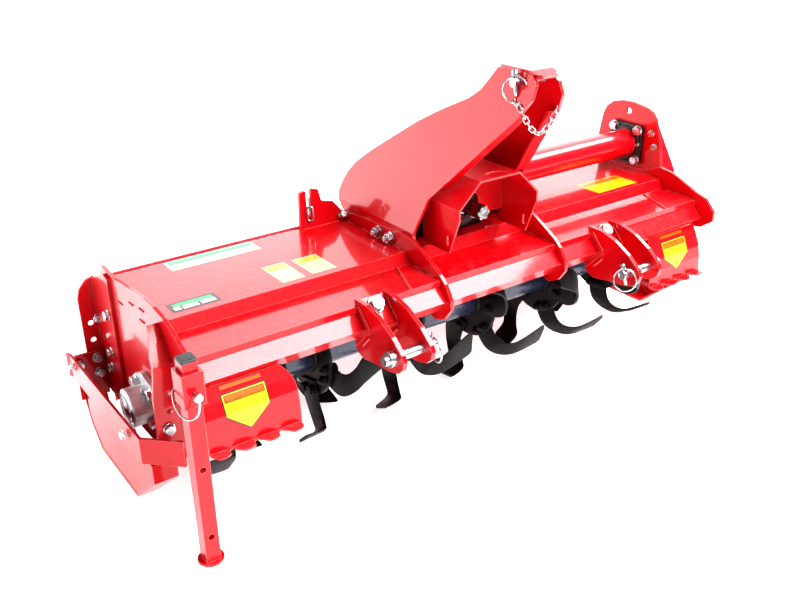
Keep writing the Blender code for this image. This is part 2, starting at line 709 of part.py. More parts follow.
# ---- guards --------------------------------------------------------------
def pto_guard(red):
    """Folded guard round the input shaft, open to the front and below."""
    half, shoulder = GUARD_HALF, GUARD_HALF / 2.0
    low, waist, crown = DRIVE_Z - 63.0, DRIVE_Z + 43.0, DRIVE_Z + 97.0
    line = [
        (DRIVE_X - half, low), (DRIVE_X - half, waist), (DRIVE_X - shoulder, crown),
        (DRIVE_X + shoulder, crown), (DRIVE_X + half, waist), (DRIVE_X + half, low),
    ]
    rear = DRIVE_Y - NECK_REACH - GAP
    guard = prism("pto_guard", strip(line, GUARD_T), "y", GUARD_FRONT_Y, rear, red)
    wedge = above(DRIVE_Z, [(-246.0, 45.0), (-246.0, -70.0), (-205.0, -70.0), (-240.0, 20.0)])
    guard = cut(guard, prism("wedge", wedge, "x", -200.0, 260.0, red))
    for side in (-1, 1):
        near, far = sorted((DRIVE_X + side * (half - 20.0), DRIVE_X + side * (half + 20.0)))
        slot = box("slot", (near, -206.0, DRIVE_Z - 46.0), (far, -199.0, DRIVE_Z - 24.0), red)
        guard = cut(guard, slot)
    centre = (DRIVE_X + 3.0, GUARD_FRONT_Y - 1.0)
    arc = circle(*centre, SLOT_R + 3.5, 10, 143.0, -123.0)
    arc += circle(*centre, SLOT_R - 3.5, 10, 20.0, 123.0)
    guard = cut(guard, prism("arc", arc, "z", crown - 20.0, crown + 20.0, red))
    back = above(DRIVE_Z, [(DRIVE_X - half, -30.0), (DRIVE_X + half, -30.0), (DRIVE_X + half, 43.0),
                           (DRIVE_X + shoulder, 97.0), (DRIVE_X - shoulder, 97.0), (DRIVE_X - half, 43.0)])
    plate = prism("back", back, "y", rear - 8.0, rear, red)
    hole = rod("hole", "y", (DRIVE_X, DRIVE_Z), 40.0, rear - 30.0, rear + 20.0, red)
    plate = cut(plate, hole)
    return join(guard, plate)


def shield(name, side, red):
    """Front stone guard: hangs from the beam, with a toothed lip along its foot."""
    k = BEAM_SIZE / math.sqrt(2.0)
    top = (BEAM_Y - 17.5, BEAM_Z - k + 16.5)
    line = [top] + above(BEAM_Z, [(-265.0, -52.0), (-276.0, -77.0)])
    line += above(SHIELD_LIP_Z, [(-282.0, 39.0), (SHIELD_FRONT_Y, 0.0)])
    crown = BEAM_Z - 11.0
    edge = HALF - SHIELD_EDGE
    inner = edge - SHIELD_W
    low, high = sorted((side * edge, side * inner))
    body = prism(name, strip(line, SHIELD_T), "x", low, high, red)
    arc = circle(inner + SHIELD_ROUND, crown - SHIELD_ROUND, SHIELD_ROUND, 8, 90.0, 90.0)
    corner = [(inner - 5.0, crown + 5.0), (inner + SHIELD_ROUND, crown + 5.0)] + arc
    corner.append((inner - 5.0, crown - SHIELD_ROUND))
    body = cut(body, prism("corner", [(side * x, z) for x, z in corner], "y", -300.0, -200.0, red))
    front = SHIELD_FRONT_Y
    pitch = (SHIELD_W + TOOTH_W * 0.3) / SHIELD_TEETH
    lip = [(low, front + 2.0), (low, front - 9.0)]
    for i in range(SHIELD_TEETH):
        x = low + pitch * i
        lip += [(x + 4.0, front - 17.0), (x + 11.0, front - 25.0), (x + TOOTH_W - 12.0, front - 25.0),
                (x + TOOTH_W - 3.0, front - 20.0), (x + TOOTH_W, front - 8.0)]
        if i + 1 < SHIELD_TEETH:
            lip += [(x + TOOTH_W + 6.0, front - 5.0), (x + pitch - 6.0, front - 6.0)]
    lip.append((low + pitch * (SHIELD_TEETH - 1) + TOOTH_W, front + 2.0))
    low, high = SHIELD_LIP_Z - SHIELD_T / 2.0, SHIELD_LIP_Z + SHIELD_T / 2.0
    return join(body, prism("lip", lip, "z", low, high, red))


def gate(red):
    """Rear tailgate, hung on a rod along the back of the deck."""
    reach = HALF - GATE_SIDE_CLEAR
    line = [
        (HINGE_Y, HINGE_Z + 3.0), (HINGE_Y + 14.0, HINGE_Z - 6.0), (208.0, HINGE_Z - 42.0),
        (244.0, HINGE_Z - 98.0), (270.0, HINGE_Z - 168.0), (284.0, 170.0), (290.0, 90.0),
        (292.0, 46.0), (306.0, 34.0),
    ]
    body = prism("gate", strip(line, GATE_T), "x", -reach, reach, red)
    knuckle = rod("knuckle", "x", (HINGE_Y, HINGE_Z), KNUCKLE_R, -reach, reach, red, 24)
    body = join(body, knuckle)
    bore = rod("bore", "x", (HINGE_Y, HINGE_Z), HINGE_ROD_R + 0.5, -reach - 9.0, reach + 9.0, red, 24)
    body = cut(body, bore)
    smooth(body)
    set_origin(body, (0.0, HINGE_Y, HINGE_Z))
    return body


def hinge_rod(zinc):
    reach = OUTER - 1.0
    rod_body = rod("hinge_rod", "x", (HINGE_Y, HINGE_Z), HINGE_ROD_R, -reach, reach, zinc, 24)
    smooth(rod_body)
    return rod_body


def chain_tab(name, side, red):
    """Slotted plate at the back of the deck that takes the gate's chain."""
    x0 = RIB_LEFT_X - RIB_T / 2.0 - GAP if side < 0 else RIB_RIGHT_X + RIB_T / 2.0 + GAP
    y = DECK_REAR_Y - 10.0
    raw = above(DECK_Z, [
        (0.0, 19.0), (30.0, 54.0), (62.0, 61.0), (70.0, 92.0), (86.0, 96.0), (91.0, 93.0),
        (91.0, 74.0), (95.0, 30.0), (101.0, 30.0), (104.0, 74.0), (104.0, 93.0), (110.0, 95.0),
        (121.0, 92.0), (124.0, GAP), (0.0, GAP),
    ])
    outline = [(x0 + side * u, v) for u, v in raw]
    return prism(name, outline, "y", y, y + 8.0, red)


# ---- stands --------------------------------------------------------------
def leg_sleeve(red):
    h = SLEEVE / 2.0
    centre = LEG_X
    low, high = SLEEVE_BOTTOM, SLEEVE_TOP
    sleeve = box("leg_sleeve", (centre - h, LEG_Y - h, low), (centre + h, LEG_Y + h, high), red)
    w = LEG / 2.0 + LEG_PLAY
    low, high = low - 20.0, high + 20.0
    bore = box("bore", (centre - w, LEG_Y - w, low), (centre + w, LEG_Y + w, high), red)
    return cut(sleeve, bore)


def parking_leg(red):
    h = LEG / 2.0
    low, high = FOOT_T - 1.0, SLEEVE_TOP + LEG_HEAD
    leg = box("parking_leg", (LEG_X - h, LEG_Y - h, low), (LEG_X + h, LEG_Y + h, high), red)
    foot = rod("foot", "z", (LEG_X, LEG_Y), FOOT_R, 0.0, FOOT_T, red, 28)
    leg = join(leg, foot)
    for z in (61.0, 216.0):
        hole = rod("hole", "y", (LEG_X, z), 6.5, LEG_Y - 30.0, LEG_Y + 30.0, red, 16)
        leg = cut(leg, hole)
    set_origin(leg, (LEG_X, LEG_Y, 0.0))
    return leg


def front_bracket(name, side, shift, red):
    """Bent strip beside the plate's front edge; its outer top corner is cut back."""
    line = [(FRONT_BRACKET_Y, 168.0)]
    line += above(DECK_Z, [(FRONT_BRACKET_Y, -60.0), (-152.0, -24.0), (-127.0, 4.0)])
    low, high = sorted((side * (OUTER + GAP), side * (OUTER + BRACKET_OUT + shift)))
    body = prism(name, strip(line, BRACKET_T), "x", low, high, red)
    far = OUTER + BRACKET_OUT + shift + 5.0
    tail = -186.0 if shift else -134.0
    corner = above(DECK_Z, [
        (OUTER + 20.0, 24.0), (OUTER + 24.0, -8.0), (OUTER + 36.0, -42.0), (OUTER + 40.0, -86.0),
        (OUTER + BRACKET_OUT, -126.0), (far, tail), (far, 24.0),
    ])
    body = cut(body, prism("corner", [(side * x, z) for x, z in corner], "y", -200.0, -100.0, red))
    for z in (DECK_Z - 121.0, DECK_Z - 161.0):
        body = cut(body, rod("hole", "y", (side * (OUTER + 16.0), z), 6.5, -200.0, -140.0, red, 16))
    return body


def rear_bracket(name, side, shift, red):
    """Angle with two columns of holes: one leg on the plate, one standing out."""
    back = REAR_BRACKET_Y + 3.0
    leg = [(128.0, 112.0), (back, 112.0)]
    leg += above(DECK_Z, [(back, -34.0), (214.0, -18.0), (150.0, 10.0), (128.0, 4.0)])
    low, high = sorted((side * (OUTER + GAP), side * (OUTER + GAP + 7.0)))
    body = prism(name, leg, "x", low, high, red)
    x0 = OUTER + GAP
    x1 = OUTER + 44.0 + shift
    flange = [(x0, 112.0), (x1, 112.0)]
    flange += above(DECK_Z, [(x1, -74.0), (x1 - 6.0, -52.0), (x1 - 22.0, -34.0), (x0, -28.0)])
    flange = [(side * x, z) for x, z in flange]
    flange = prism("flange", flange, "y", REAR_BRACKET_Y - 3.0, REAR_BRACKET_Y + 3.0, red)
    body = join(body, flange)
    for z in (DECK_Z - 138.0, DECK_Z - 180.0, 128.0):
        body = cut(body, rod("hole", "y", (side * (x1 - 20.0), z), 6.5, 200.0, 280.0, red, 16))
    for y, z in ((182.0, DECK_Z - 101.0), (205.0, DECK_Z - 161.0), (205.0, 148.0)):
        a, b = sorted((side * (OUTER - 2.0), side * (OUTER + 12.0)))
        body = cut(body, rod("hole", "x", (y, z), 6.5, a, b, red, 16))
    return body


def skid(name, side, shift, web_top, red):
    """Boat-shaped skid: one bent strip with an outer web."""
    h = SKID_T / 2.0
    front_y = FRONT_BRACKET_Y + BRACKET_T / 2.0 + GAP + h
    rear_y = REAR_BRACKET_Y + 3.0 + GAP + h
    line = [(front_y, 236.0), (front_y, 110.0), (-41.0, h), (171.0, h), (222.0, 48.0), (rear_y, 106.0),
            (rear_y, 196.0)]
    outer = OUTER + SKID_OUT + shift
    low, high = sorted((side * (OUTER + SKID_IN + shift), side * outer))
    body = prism(name, strip(line, SKID_T), "x", low, high, red)
    near, far = sorted((side * (OUTER + BRACKET_OUT - 1.0 + shift), side * (outer + 5.0)))
    body = cut(body, box("relief", (near, front_y - 20.0, 152.0), (far, front_y + 20.0, 260.0), red))
    web = [(-41.0, h), (171.0, h), (222.0, 48.0), (228.0, 60.9), (228.0, web_top)]
    if web_top > 110.0:
        web += [(front_y, web_top), (front_y, 110.0)]
    else:
        web.append((front_y + (110.0 - web_top) * (-41.0 - front_y) / (110.0 - h), web_top))
    a, b = sorted((side * (outer - 1.0 - SKID_T), side * (outer - 1.0)))
    return join(body, prism("web", web, "x", a, b, red))


def guard_strap(red):
    """Flat-bar side guard with its rear plate and its slanting front end."""
    x = -OUTER - STRAP_OUT + STRAP_T / 2.0
    slant = 60.5 / 63.5
    line = [(x - 5.0, 276.0), (x, 262.0), (x, -154.6), (x + 64.0, -154.6 - 64.0 * slant)]
    bar = prism("guard_strap", strip(line, STRAP_T), "z", STRAP_LOW, STRAP_HIGH, red)
    plate = box("plate", (x, REAR_BRACKET_Y - 3.0 - GAP - 6.0, 106.0),
                (-OUTER - 9.0, REAR_BRACKET_Y - 3.0 - GAP, 221.0), red)
    return join(bar, plate)


def stand_on_origin():
    """Put the middle of the machine's footprint on the world's origin."""
    bpy.context.view_layer.update()
    low = Vector((1e9, 1e9, 1e9))
    high = -low
    for obj in bpy.data.objects:
        if obj.type != "MESH":
            continue
        for vertex in obj.data.vertices:
            point = obj.matrix_world @ vertex.co
            low = Vector(map(min, low, point))
            high = Vector(map(max, high, point))
    shift = Vector((-(low.x + high.x) / 2.0, -(low.y + high.y) / 2.0, -low.z))
    for obj in bpy.data.objects:
        if obj.parent is None:
            obj.location += shift
    bpy.context.view_layer.update()
    print("shift", [round(v, 6) for v in shift], "size", [round(v, 6) for v in high - low])


def build():
    clear_scene()
    red = material("red_paint", PAINT, 0.22, 0.0)
    dark = material("dark_paint", DARK, 0.35, 0.0)
    zinc = material("zinc_plate", ZINC, 0.25, 1.0)
    cast = material("cast_metal", CAST, 0.45, 1.0)
    steel = material("bare_steel", STEEL, 0.35, 1.0)

    deck(red)
    front_beam(red)
    side_plate("side_plate_left", -1, red)
    side_plate("side_plate_right", 1, red)
    rib("rib_left", RIB_LEFT_X, red)
    rib("rib_right", RIB_RIGHT_X, red)
    mast_flank("mast_left", -1, red)
    mast_flank("mast_right", 1, red)
    mast_roof(red)
    top_pin(zinc)
    left_x = DRIVE_X - 0.5 - LOWER_SPREAD / 2.0
    right_x = left_x + LOWER_SPREAD
    hitch("hitch_left", left_x, red)
    hitch("hitch_right", right_x, red)
    lower_pin("lower_pin_left", left_x, -1, zinc)
    lower_pin("lower_pin_right", right_x, 1, zinc)
    gearbox(red)
    input_shaft(steel)
    cross_tube(red)
    drive_plate(red)
    gear_case(red)
    bearing_housing(cast)
    axis = bpy.data.objects.new("rotor_axis", None)
    axis.location = Vector((0.0, ROTOR_Y, ROTOR_Z)) * MM
    bpy.context.collection.objects.link(axis)
    rotor_tube(dark, axis)
    for index in range(KNIFE_DISCS):
        knife_disc(index, dark, axis)
    pto_guard(red)
    shield("shield_left", -1, red)
    shield("shield_right", 1, red)
    gate(red)
    hinge_rod(zinc)
    chain_tab("chain_tab_left", -1, red)
    chain_tab("chain_tab_right", 1, red)
    leg_sleeve(red)
    parking_leg(red)
    for side, tag, shift, web_top in ((-1, "left", 0.0, 150.0), (1, "right", CASE_SHIFT, 100.0)):
        front_bracket("front_bracket_" + tag, side, shift, red)
        rear_bracket("rear_bracket_" + tag, side, shift, red)
        skid("skid_" + tag, side, shift, web_top, red)
    guard_strap(red)
    stand_on_origin()


build()
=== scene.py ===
import json
import math

import bmesh
import bpy
from mathutils import Matrix, Vector


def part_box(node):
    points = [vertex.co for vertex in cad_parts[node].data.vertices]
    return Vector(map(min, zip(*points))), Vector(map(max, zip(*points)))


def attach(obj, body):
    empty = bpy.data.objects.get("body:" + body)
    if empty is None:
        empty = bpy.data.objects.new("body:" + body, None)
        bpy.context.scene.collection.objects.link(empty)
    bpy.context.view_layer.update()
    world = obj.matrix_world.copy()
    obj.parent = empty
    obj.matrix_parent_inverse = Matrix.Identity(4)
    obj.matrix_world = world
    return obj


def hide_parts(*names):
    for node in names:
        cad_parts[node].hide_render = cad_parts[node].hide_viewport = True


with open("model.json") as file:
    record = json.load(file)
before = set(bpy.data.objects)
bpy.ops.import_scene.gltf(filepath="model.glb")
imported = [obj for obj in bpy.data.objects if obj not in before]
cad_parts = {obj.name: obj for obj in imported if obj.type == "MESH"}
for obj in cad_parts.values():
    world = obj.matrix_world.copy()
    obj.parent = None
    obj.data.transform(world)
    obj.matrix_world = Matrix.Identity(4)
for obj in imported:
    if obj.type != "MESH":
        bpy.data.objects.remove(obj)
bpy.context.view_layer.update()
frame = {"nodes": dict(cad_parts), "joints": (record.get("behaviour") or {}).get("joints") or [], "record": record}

# ---- Where things are ------------------------------------------------------
# The machine's own millimetres run from the rotor's middle, which the rotor's joint
# gives: X across the machine, -Y towards the tractor, Z up from the floor.
MM = 0.001
ROTOR_Y = -30.0
ROTOR_Z = 210.0
spin = next(j for j in frame["joints"] if j["name"] == "rotor_spin")
CENTRE = Vector(spin["pos_m"])
deck_low, deck_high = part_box("deck")
CENTRE.x = (deck_low.x + deck_high.x) / 2.0


def at(x, y, z):
    """A point in the machine's millimetres, as world metres."""
    return Vector((CENTRE.x + x * MM, CENTRE.y + (y - ROTOR_Y) * MM, z * MM))


def span(node):
    """A node's lowest and highest corners in the machine's millimetres."""
    corners = []
    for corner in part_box(node):
        x = (corner.x - CENTRE.x) / MM
        y = (corner.y - CENTRE.y) / MM + ROTOR_Y
        corners.append(Vector((x, y, corner.z / MM)))
    return corners


# ---- Camera, floor and studio light ---------------------------------------
# A seamless pale floor, one softbox that flares along the beam's sloping face, two wide
# panels behind that lay a milky sheen on the deck and the mast, and a soft fill.
AZIMUTH = math.radians(35.677)
ELEVATION = math.radians(25.579)
ROLL = math.radians(-0.6195)
FOCAL = 40.68
forward = Vector((
    math.sin(AZIMUTH) * math.cos(ELEVATION), math.cos(AZIMUTH) * math.cos(ELEVATION), -math.sin(ELEVATION),
))
level_right = Vector((math.cos(AZIMUTH), -math.sin(AZIMUTH), 0.0))
level_up = level_right.cross(forward)
right = level_right * math.cos(ROLL) + level_up * math.sin(ROLL)
up = level_up * math.cos(ROLL) - level_right * math.sin(ROLL)

camera = bpy.data.objects.new("camera", bpy.data.cameras.new("camera"))
camera.data.lens = FOCAL
camera.data.sensor_width = 36.0
camera.data.clip_end = 100.0
camera.matrix_world = Matrix.Translation(at(-1250.0, -1640.0, 1206.0)) @ Matrix((
    (right.x, up.x, -forward.x, 0.0), (right.y, up.y, -forward.y, 0.0),
    (right.z, up.z, -forward.z, 0.0), (0.0, 0.0, 0.0, 1.0),
))
bpy.context.scene.collection.objects.link(camera)
bpy.context.scene.camera = camera
bpy.context.scene.view_settings.view_transform = "Standard"
bpy.context.scene.view_settings.look = "High Contrast"


def softbox(name, direction, distance, width, height, watts):
    """An area light that stands that way from the machine's middle and faces it."""
    light = bpy.data.lights.new(name, "AREA")
    light.shape = "RECTANGLE"
    light.size = width
    light.size_y = height
    light.energy = watts
    lamp = bpy.data.objects.new(name, light)
    way = Vector(direction).normalized()
    lamp.matrix_world = Matrix.Translation(at(0.0, -60.0, 350.0) + way * distance)
    lamp.rotation_euler = way.to_track_quat("Z", "Y").to_euler()
    bpy.context.scene.collection.objects.link(lamp)


# name, direction, distance and size in metres, power in watts
softbox("flare", (0.43, -0.46, 0.76), 3.2, 5.2, 1.2, 285.0)
softbox("back_right", (0.60, 0.68, 0.46), 4.2, 5.4, 2.6, 92.0)
softbox("back_left", (-0.74, 0.66, 0.16), 4.0, 4.0, 2.4, 98.0)
softbox("front_fill", (-0.75, -0.6, 0.55), 4.5, 3.0, 3.0, 5.0)
softbox("overhead", (0.0, 0.1, 1.0), 4.0, 3.5, 3.5, 10.0)

world = bpy.data.worlds.new("studio")
world.use_nodes = True
world.node_tree.nodes["Background"].inputs["Color"].default_value = (1.0, 1.0, 1.0, 1.0)
world.node_tree.nodes["Background"].inputs["Strength"].default_value = 0.26
bpy.context.scene.world = world

floor_mesh = bpy.data.meshes.new("floor")
floor_mesh.from_pydata([(-30, -30, 0), (30, -30, 0), (30, 30, 0), (-30, 30, 0)], [], [(0, 1, 2, 3)])
floor = bpy.data.objects.new("floor", floor_mesh)
bpy.context.scene.collection.objects.link(floor)
floor_paint = bpy.data.materials.new("floor")
floor_paint.use_nodes = True
floor_shader = floor_paint.node_tree.nodes["Principled BSDF"]
floor_shader.inputs["Base Color"].default_value = (0.93, 0.93, 0.93, 1.0)
floor_shader.inputs["Roughness"].default_value = 0.7
floor_shader.inputs["Emission Color"].default_value = (1.0, 1.0, 1.0, 1.0)
floor_shader.inputs["Emission Strength"].default_value = 0.55
floor_mesh.materials.append(floor_paint)


# ---- Finishes --------------------------------------------------------------
# A Finish is one Principled material. Shader sums are written as Python sums, because a Value
# adds Math nodes as it is used; colours and vectors go through their own nodes.
class Value:
    """One output socket of a finish."""

    def __init__(self, finish, socket):
        self.finish = finish
        self.socket = socket

    def __add__(self, other):
        return self.finish.maths("ADD", self, other)

    def __radd__(self, other):
        return self.finish.maths("ADD", other, self)

    def __sub__(self, other):
        return self.finish.maths("SUBTRACT", self, other)

    def __rsub__(self, other):
        return self.finish.maths("SUBTRACT", other, self)

    def __mul__(self, other):
        return self.finish.maths("MULTIPLY", self, other)

    def __rmul__(self, other):
        return self.finish.maths("MULTIPLY", other, self)


class Finish:
    """A Principled material and the nodes that vary it."""

    def __init__(self, name, colour, roughness, metallic=0.0, coat=0.0, coat_roughness=0.05):
        self.material = bpy.data.materials.new(name)
        self.material.use_nodes = True
        self.tree = self.material.node_tree
        self.shader = self.tree.nodes["Principled BSDF"]
        self.shader.inputs["Base Color"].default_value = (*colour, 1.0)
        self.shader.inputs["Roughness"].default_value = roughness
        self.shader.inputs["Metallic"].default_value = metallic
        self.shader.inputs["Coat Weight"].default_value = coat
        self.shader.inputs["Coat Roughness"].default_value = coat_roughness

    def node(self, kind, settings=None, inputs=None, output=0):
        node = self.tree.nodes.new("ShaderNode" + kind)
        for key, value in (settings or {}).items():
            setattr(node, key, value)
        for key, value in (inputs or {}).items():
            if isinstance(value, Value):
                self.tree.links.new(value.socket, node.inputs[key])
            else:
                node.inputs[key].default_value = value
        return Value(self, node.outputs[output])

    def maths(self, operation, first, second):
        return self.node("Math", {"operation": operation}, {0: first, 1: second})

    def place(self):
        return self.node("TexCoord", output="Object")

    def noise(self, scale, detail=3.0, roughness=0.5, stretch=None):
        where = self.place()
        if stretch:
            where = self.node("Mapping", inputs={"Vector": where, "Scale": stretch})
        return self.node("TexNoise", inputs={
            "Vector": where, "Scale": scale, "Detail": detail, "Roughness": roughness})

    def between(self, value, low, high, out_low=0.0, out_high=1.0):
        """value stretched from low..high to out_low..out_high, and clamped."""
        return self.node("MapRange", {"clamp": True}, {
            "Value": value, "From Min": low, "From Max": high, "To Min": out_low, "To Max": out_high})

    def blend(self, factor, first, second):
        """A colour mixed from two colours; each may be a tuple or a Value."""
        inputs = {0: factor}
        for slot, colour in ((6, first), (7, second)):
            inputs[slot] = colour if isinstance(colour, Value) else (*colour, 1.0)
        return self.node("Mix", {"data_type": "RGBA"}, inputs, 2)

    def edge(self, radius, samples=4):
        """1 on an edge rounder than radius, 0 on open faces."""
        soft = self.node("Bevel", {"samples": samples}, {"Radius": radius})
        flat = self.node("NewGeometry", output="Normal")
        along = self.node("VectorMath", {"operation": "DOT_PRODUCT"}, {0: soft, 1: flat}, "Value")
        return self.between(1.0 - along, 0.01, 0.12)

    def feed(self, name, value):
        self.tree.links.new(value.socket, self.shader.inputs[name])
        return self

    def bump(self, height, strength, distance, rounded=0.0):
        inputs = {"Height": height, "Strength": strength, "Distance": distance}
        if rounded:
            inputs["Normal"] = self.node("Bevel", {"samples": 4}, {"Radius": rounded})
        return self.feed("Normal", self.node("Bump", inputs=inputs))


# ---- Red powder coat --------------------------------------------------------
# Every pressed, cut and welded steel piece is sprayed with red powder and baked. The coat is
# thick and glossy, flows a little like orange peel, thins on edges and carries faint dust. Its edges
# are painted pale pink: partly thinner paint, mostly a painted highlight.
RED = (0.60, 0.003, 0.012)
RED_DEEP = (0.47, 0.002, 0.008)
# pale pink for the edges: partly thinner paint, mostly a painted highlight
RED_EDGE_HIGHLIGHT = (0.84, 0.26, 0.24)
DUST = (0.80, 0.42, 0.38)

red = Finish("red_powder_coat", RED, 0.34, coat=0.7, coat_roughness=0.07)
red.shader.inputs["Specular IOR Level"].default_value = 0.2
cloud = red.noise(3.0, 4.0, 0.55)
speck = red.noise(60.0, 5.0, 0.7)
fine = red.noise(420.0, 2.0, 0.5)
edges = red.edge(0.0021)
film = red.blend(red.between(cloud, 0.35, 0.7), RED, RED_DEEP)
up_face = red.node("SeparateXYZ", inputs={0: red.node("NewGeometry", output="Normal")}, output="Z")
settled = red.between(speck, 0.5, 0.78) * red.between(up_face, 0.2, 1.0) * 0.10
dusty = red.blend(settled, film, DUST)
# The edges take the pale pink in patches: partly thinner paint, mostly a painted highlight along the rounded
# edges.
thin_edge_highlight = edges * red.between(speck, 0.30, 0.62, 0.35, 0.85)
red.feed("Base Color", red.blend(thin_edge_highlight, dusty, RED_EDGE_HIGHLIGHT))
red.feed("Roughness", red.between(cloud + speck * 0.4, 0.4, 1.0, 0.26, 0.44))
red.bump(fine * 0.55 + cloud * 0.45, 0.09, 0.0006, rounded=0.0012)
RED_PAINT = red.material


def repaint(nodes, material):
    """Give CAD nodes their real finish."""
    for name in nodes:
        materials = frame["nodes"][name].data.materials
        materials.clear()
        materials.append(material)


subparts = frame["record"]["subparts"]
repaint([part["node"] for part in subparts if part["material_slot"] == "red_paint"], RED_PAINT)


# ---- Weld seams --------------------------------------------------------------
# The plates are joined by short runs of MIG weld, laid by hand before painting: overlapping
# flattened beads, a little uneven, under the same red coat.
class Tree:
    """A Geometry Nodes tree with named inputs, which ends in real geometry with a finish."""

    def __init__(self, name, inputs):
        self.group = bpy.data.node_groups.new(name, "GeometryNodeTree")
        face = self.group.interface
        face.new_socket("Start", in_out="INPUT", socket_type="NodeSocketGeometry")
        for label, kind in inputs.items():
            face.new_socket(label, in_out="INPUT", socket_type="NodeSocket" + kind)
        face.new_socket("Finish", in_out="INPUT", socket_type="NodeSocketMaterial")
        face.new_socket("Result", in_out="OUTPUT", socket_type="NodeSocketGeometry")
        self.given = self.group.nodes.new("NodeGroupInput").outputs
        self.result = self.group.nodes.new("NodeGroupOutput").inputs[0]

    def node(self, kind, settings=None, inputs=None, output=0):
        node = self.group.nodes.new(kind)
        for key, value in (settings or {}).items():
            setattr(node, key, value)
        for key, value in (inputs or {}).items():
            if isinstance(value, bpy.types.NodeSocket):
                self.group.links.new(value, node.inputs[key])
            else:
                node.inputs[key].default_value = value
        return node.outputs[output]

    def end(self, geometry):
        real = self.node("GeometryNodeRealizeInstances", inputs={0: geometry})
        done = self.node("GeometryNodeSetMaterial", inputs={0: real, "Material": self.given["Finish"]})
        self.group.links.new(done, self.result)


def placed(name, mesh):
    thing = bpy.data.objects.new(name, mesh)
    bpy.context.scene.collection.objects.link(thing)
    return thing


def grown(name, start, tree, **values):
    """The plain mesh piece that a tree makes from a start mesh."""
    seed = placed(name + "_start", start)
    growth = seed.modifiers.new("growth", "NODES")
    growth.node_group = tree.group
    for socket in tree.group.interface.items_tree:
        if socket.in_out == "INPUT" and socket.name in values:
            growth[socket.identifier] = values[socket.name]
    graph = bpy.context.evaluated_depsgraph_get()
    mesh = bpy.data.meshes.new_from_object(seed.evaluated_get(graph))
    bpy.data.objects.remove(seed)
    return placed(name, mesh)


def fixed(piece, body):
    """Make a finished piece ride on its body."""
    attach(piece, body)
    return piece


weld_tree = Tree("weld_run", {"Pitch": "Float", "Bead": "Float"})
run = weld_tree.node("GeometryNodeMeshToCurve", inputs={0: weld_tree.given["Start"]})
run = weld_tree.node("GeometryNodeResampleCurve", {"mode": "LENGTH"}, {
    "Curve": run, "Length": weld_tree.given["Pitch"]})
bead = weld_tree.node("GeometryNodeMeshUVSphere", inputs={"Segments": 8, "Rings": 5, "Radius": 1.0})
bead = weld_tree.node("GeometryNodeTransform", inputs={0: bead, "Scale": (1.0, 1.0, 0.62)})
uneven = weld_tree.node("FunctionNodeRandomValue", {"data_type": "FLOAT"}, {2: 0.82, 3: 1.15, "Seed": 11}, 1)
bead_size = weld_tree.node("ShaderNodeMath", {"operation": "MULTIPLY"}, {
    0: weld_tree.given["Bead"], 1: uneven})
along = weld_tree.node("FunctionNodeAlignRotationToVector", {"axis": "X"}, {
    "Vector": weld_tree.node("GeometryNodeInputTangent")})
tip = weld_tree.node("FunctionNodeRotateRotation", {"rotation_space": "LOCAL"}, {
    0: along, 1: weld_tree.node("FunctionNodeAxisAngleToRotation", inputs={
        "Axis": (0.0, 1.0, 0.0), "Angle": 0.5})})
weld_tree.end(weld_tree.node("GeometryNodeInstanceOnPoints", inputs={
    "Points": run, "Instance": bead, "Rotation": tip, "Scale": bead_size}))


def weld(name, runs, bead=3.2, pitch=3.0):
    """Weld beads along straight runs, each from one point to another in millimetres."""
    start = bpy.data.meshes.new(name)
    points = []
    edges = []
    for first, last in runs:
        points += [at(*first), at(*last)]
        edges.append((len(points) - 2, len(points) - 1))
    start.from_pydata(points, edges, [])
    piece = grown(name, start, weld_tree, Pitch=pitch * MM, Bead=bead * MM, Finish=RED_PAINT)
    for face in piece.data.polygons:
        face.use_smooth = True
    return fixed(piece, "frame")


def stitches(first, last, count, fill=0.45):
    """Short runs spaced evenly between two points."""
    first = Vector(first)
    step = (Vector(last) - first) / count
    return [(first + step * (i + 0.5 - fill / 2.0), first + step * (i + 0.5 + fill / 2.0))
            for i in range(count)]


DECK_Z = span("deck")[1].z
PLATE_IN = span("side_plate_right")[0].x
BACK_Y = 140.0          # the deck's flat stretch
FRONT_Y = -118.0
STEP_BACK_Y = -136.0    # the lower strip in front of it
STEP_FRONT_Y = -238.0
STEP_Z = DECK_Z - 25.0
rib_faces = [span(name)[side].x for name in ("rib_left", "rib_right") for side in (0, 1)]
runs = []
for x in rib_faces:
    runs += stitches((x, BACK_Y, DECK_Z), (x, FRONT_Y, DECK_Z), 4)
    runs += stitches((x, STEP_BACK_Y, STEP_Z), (x, STEP_FRONT_Y, STEP_Z - 1.0), 2)
weld("rib_welds", runs)
runs = []
for side in (-1, 1):
    x = side * (PLATE_IN - 0.5)
    runs += stitches((x, BACK_Y, DECK_Z), (x, FRONT_Y, DECK_Z), 3, 0.35)
    runs += stitches((x, STEP_BACK_Y, STEP_Z), (x, STEP_FRONT_Y, STEP_Z - 1.0), 1, 0.8)
    x = side * (PLATE_IN + 8.3)
    for y, z in ((80.0, DECK_Z - 33.0), (-49.0, DECK_Z + 1.0), (-43.0, DECK_Z - 26.0), (10.0, DECK_Z - 8.0)):
        runs.append(((x, y + 11.0, z - 0.8), (x, y - 11.0, z + 0.8)))
weld("side_plate_welds", runs, bead=2.6)
for side, name in ((-1, "left"), (1, "right")):
    low, high = span("hitch_" + name)
    middle = (low.x + high.x) / 2.0
    runs = []
    for face in (-40.5, -29.5, 29.5, 40.5):
        runs.append(((middle + face, -250.0, 401.0), (middle + face, -285.0, 366.0)))
        runs.append(((middle + face, -285.0, 343.0), (middle + face, -262.0, 318.0)))
    weld("hitch_welds_" + name, runs, bead=3.4)
weld("deck_seams", [
    ((-177.0, STEP_BACK_Y, STEP_Z - 0.2), (-217.0, -240.0, STEP_Z - 1.2)),
    ((646.0, STEP_BACK_Y, STEP_Z - 0.2), (606.0, -240.0, STEP_Z - 1.2)),
    ((100.0, -112.0, DECK_Z), (132.0, -113.0, DECK_Z)),
], bead=4.4)
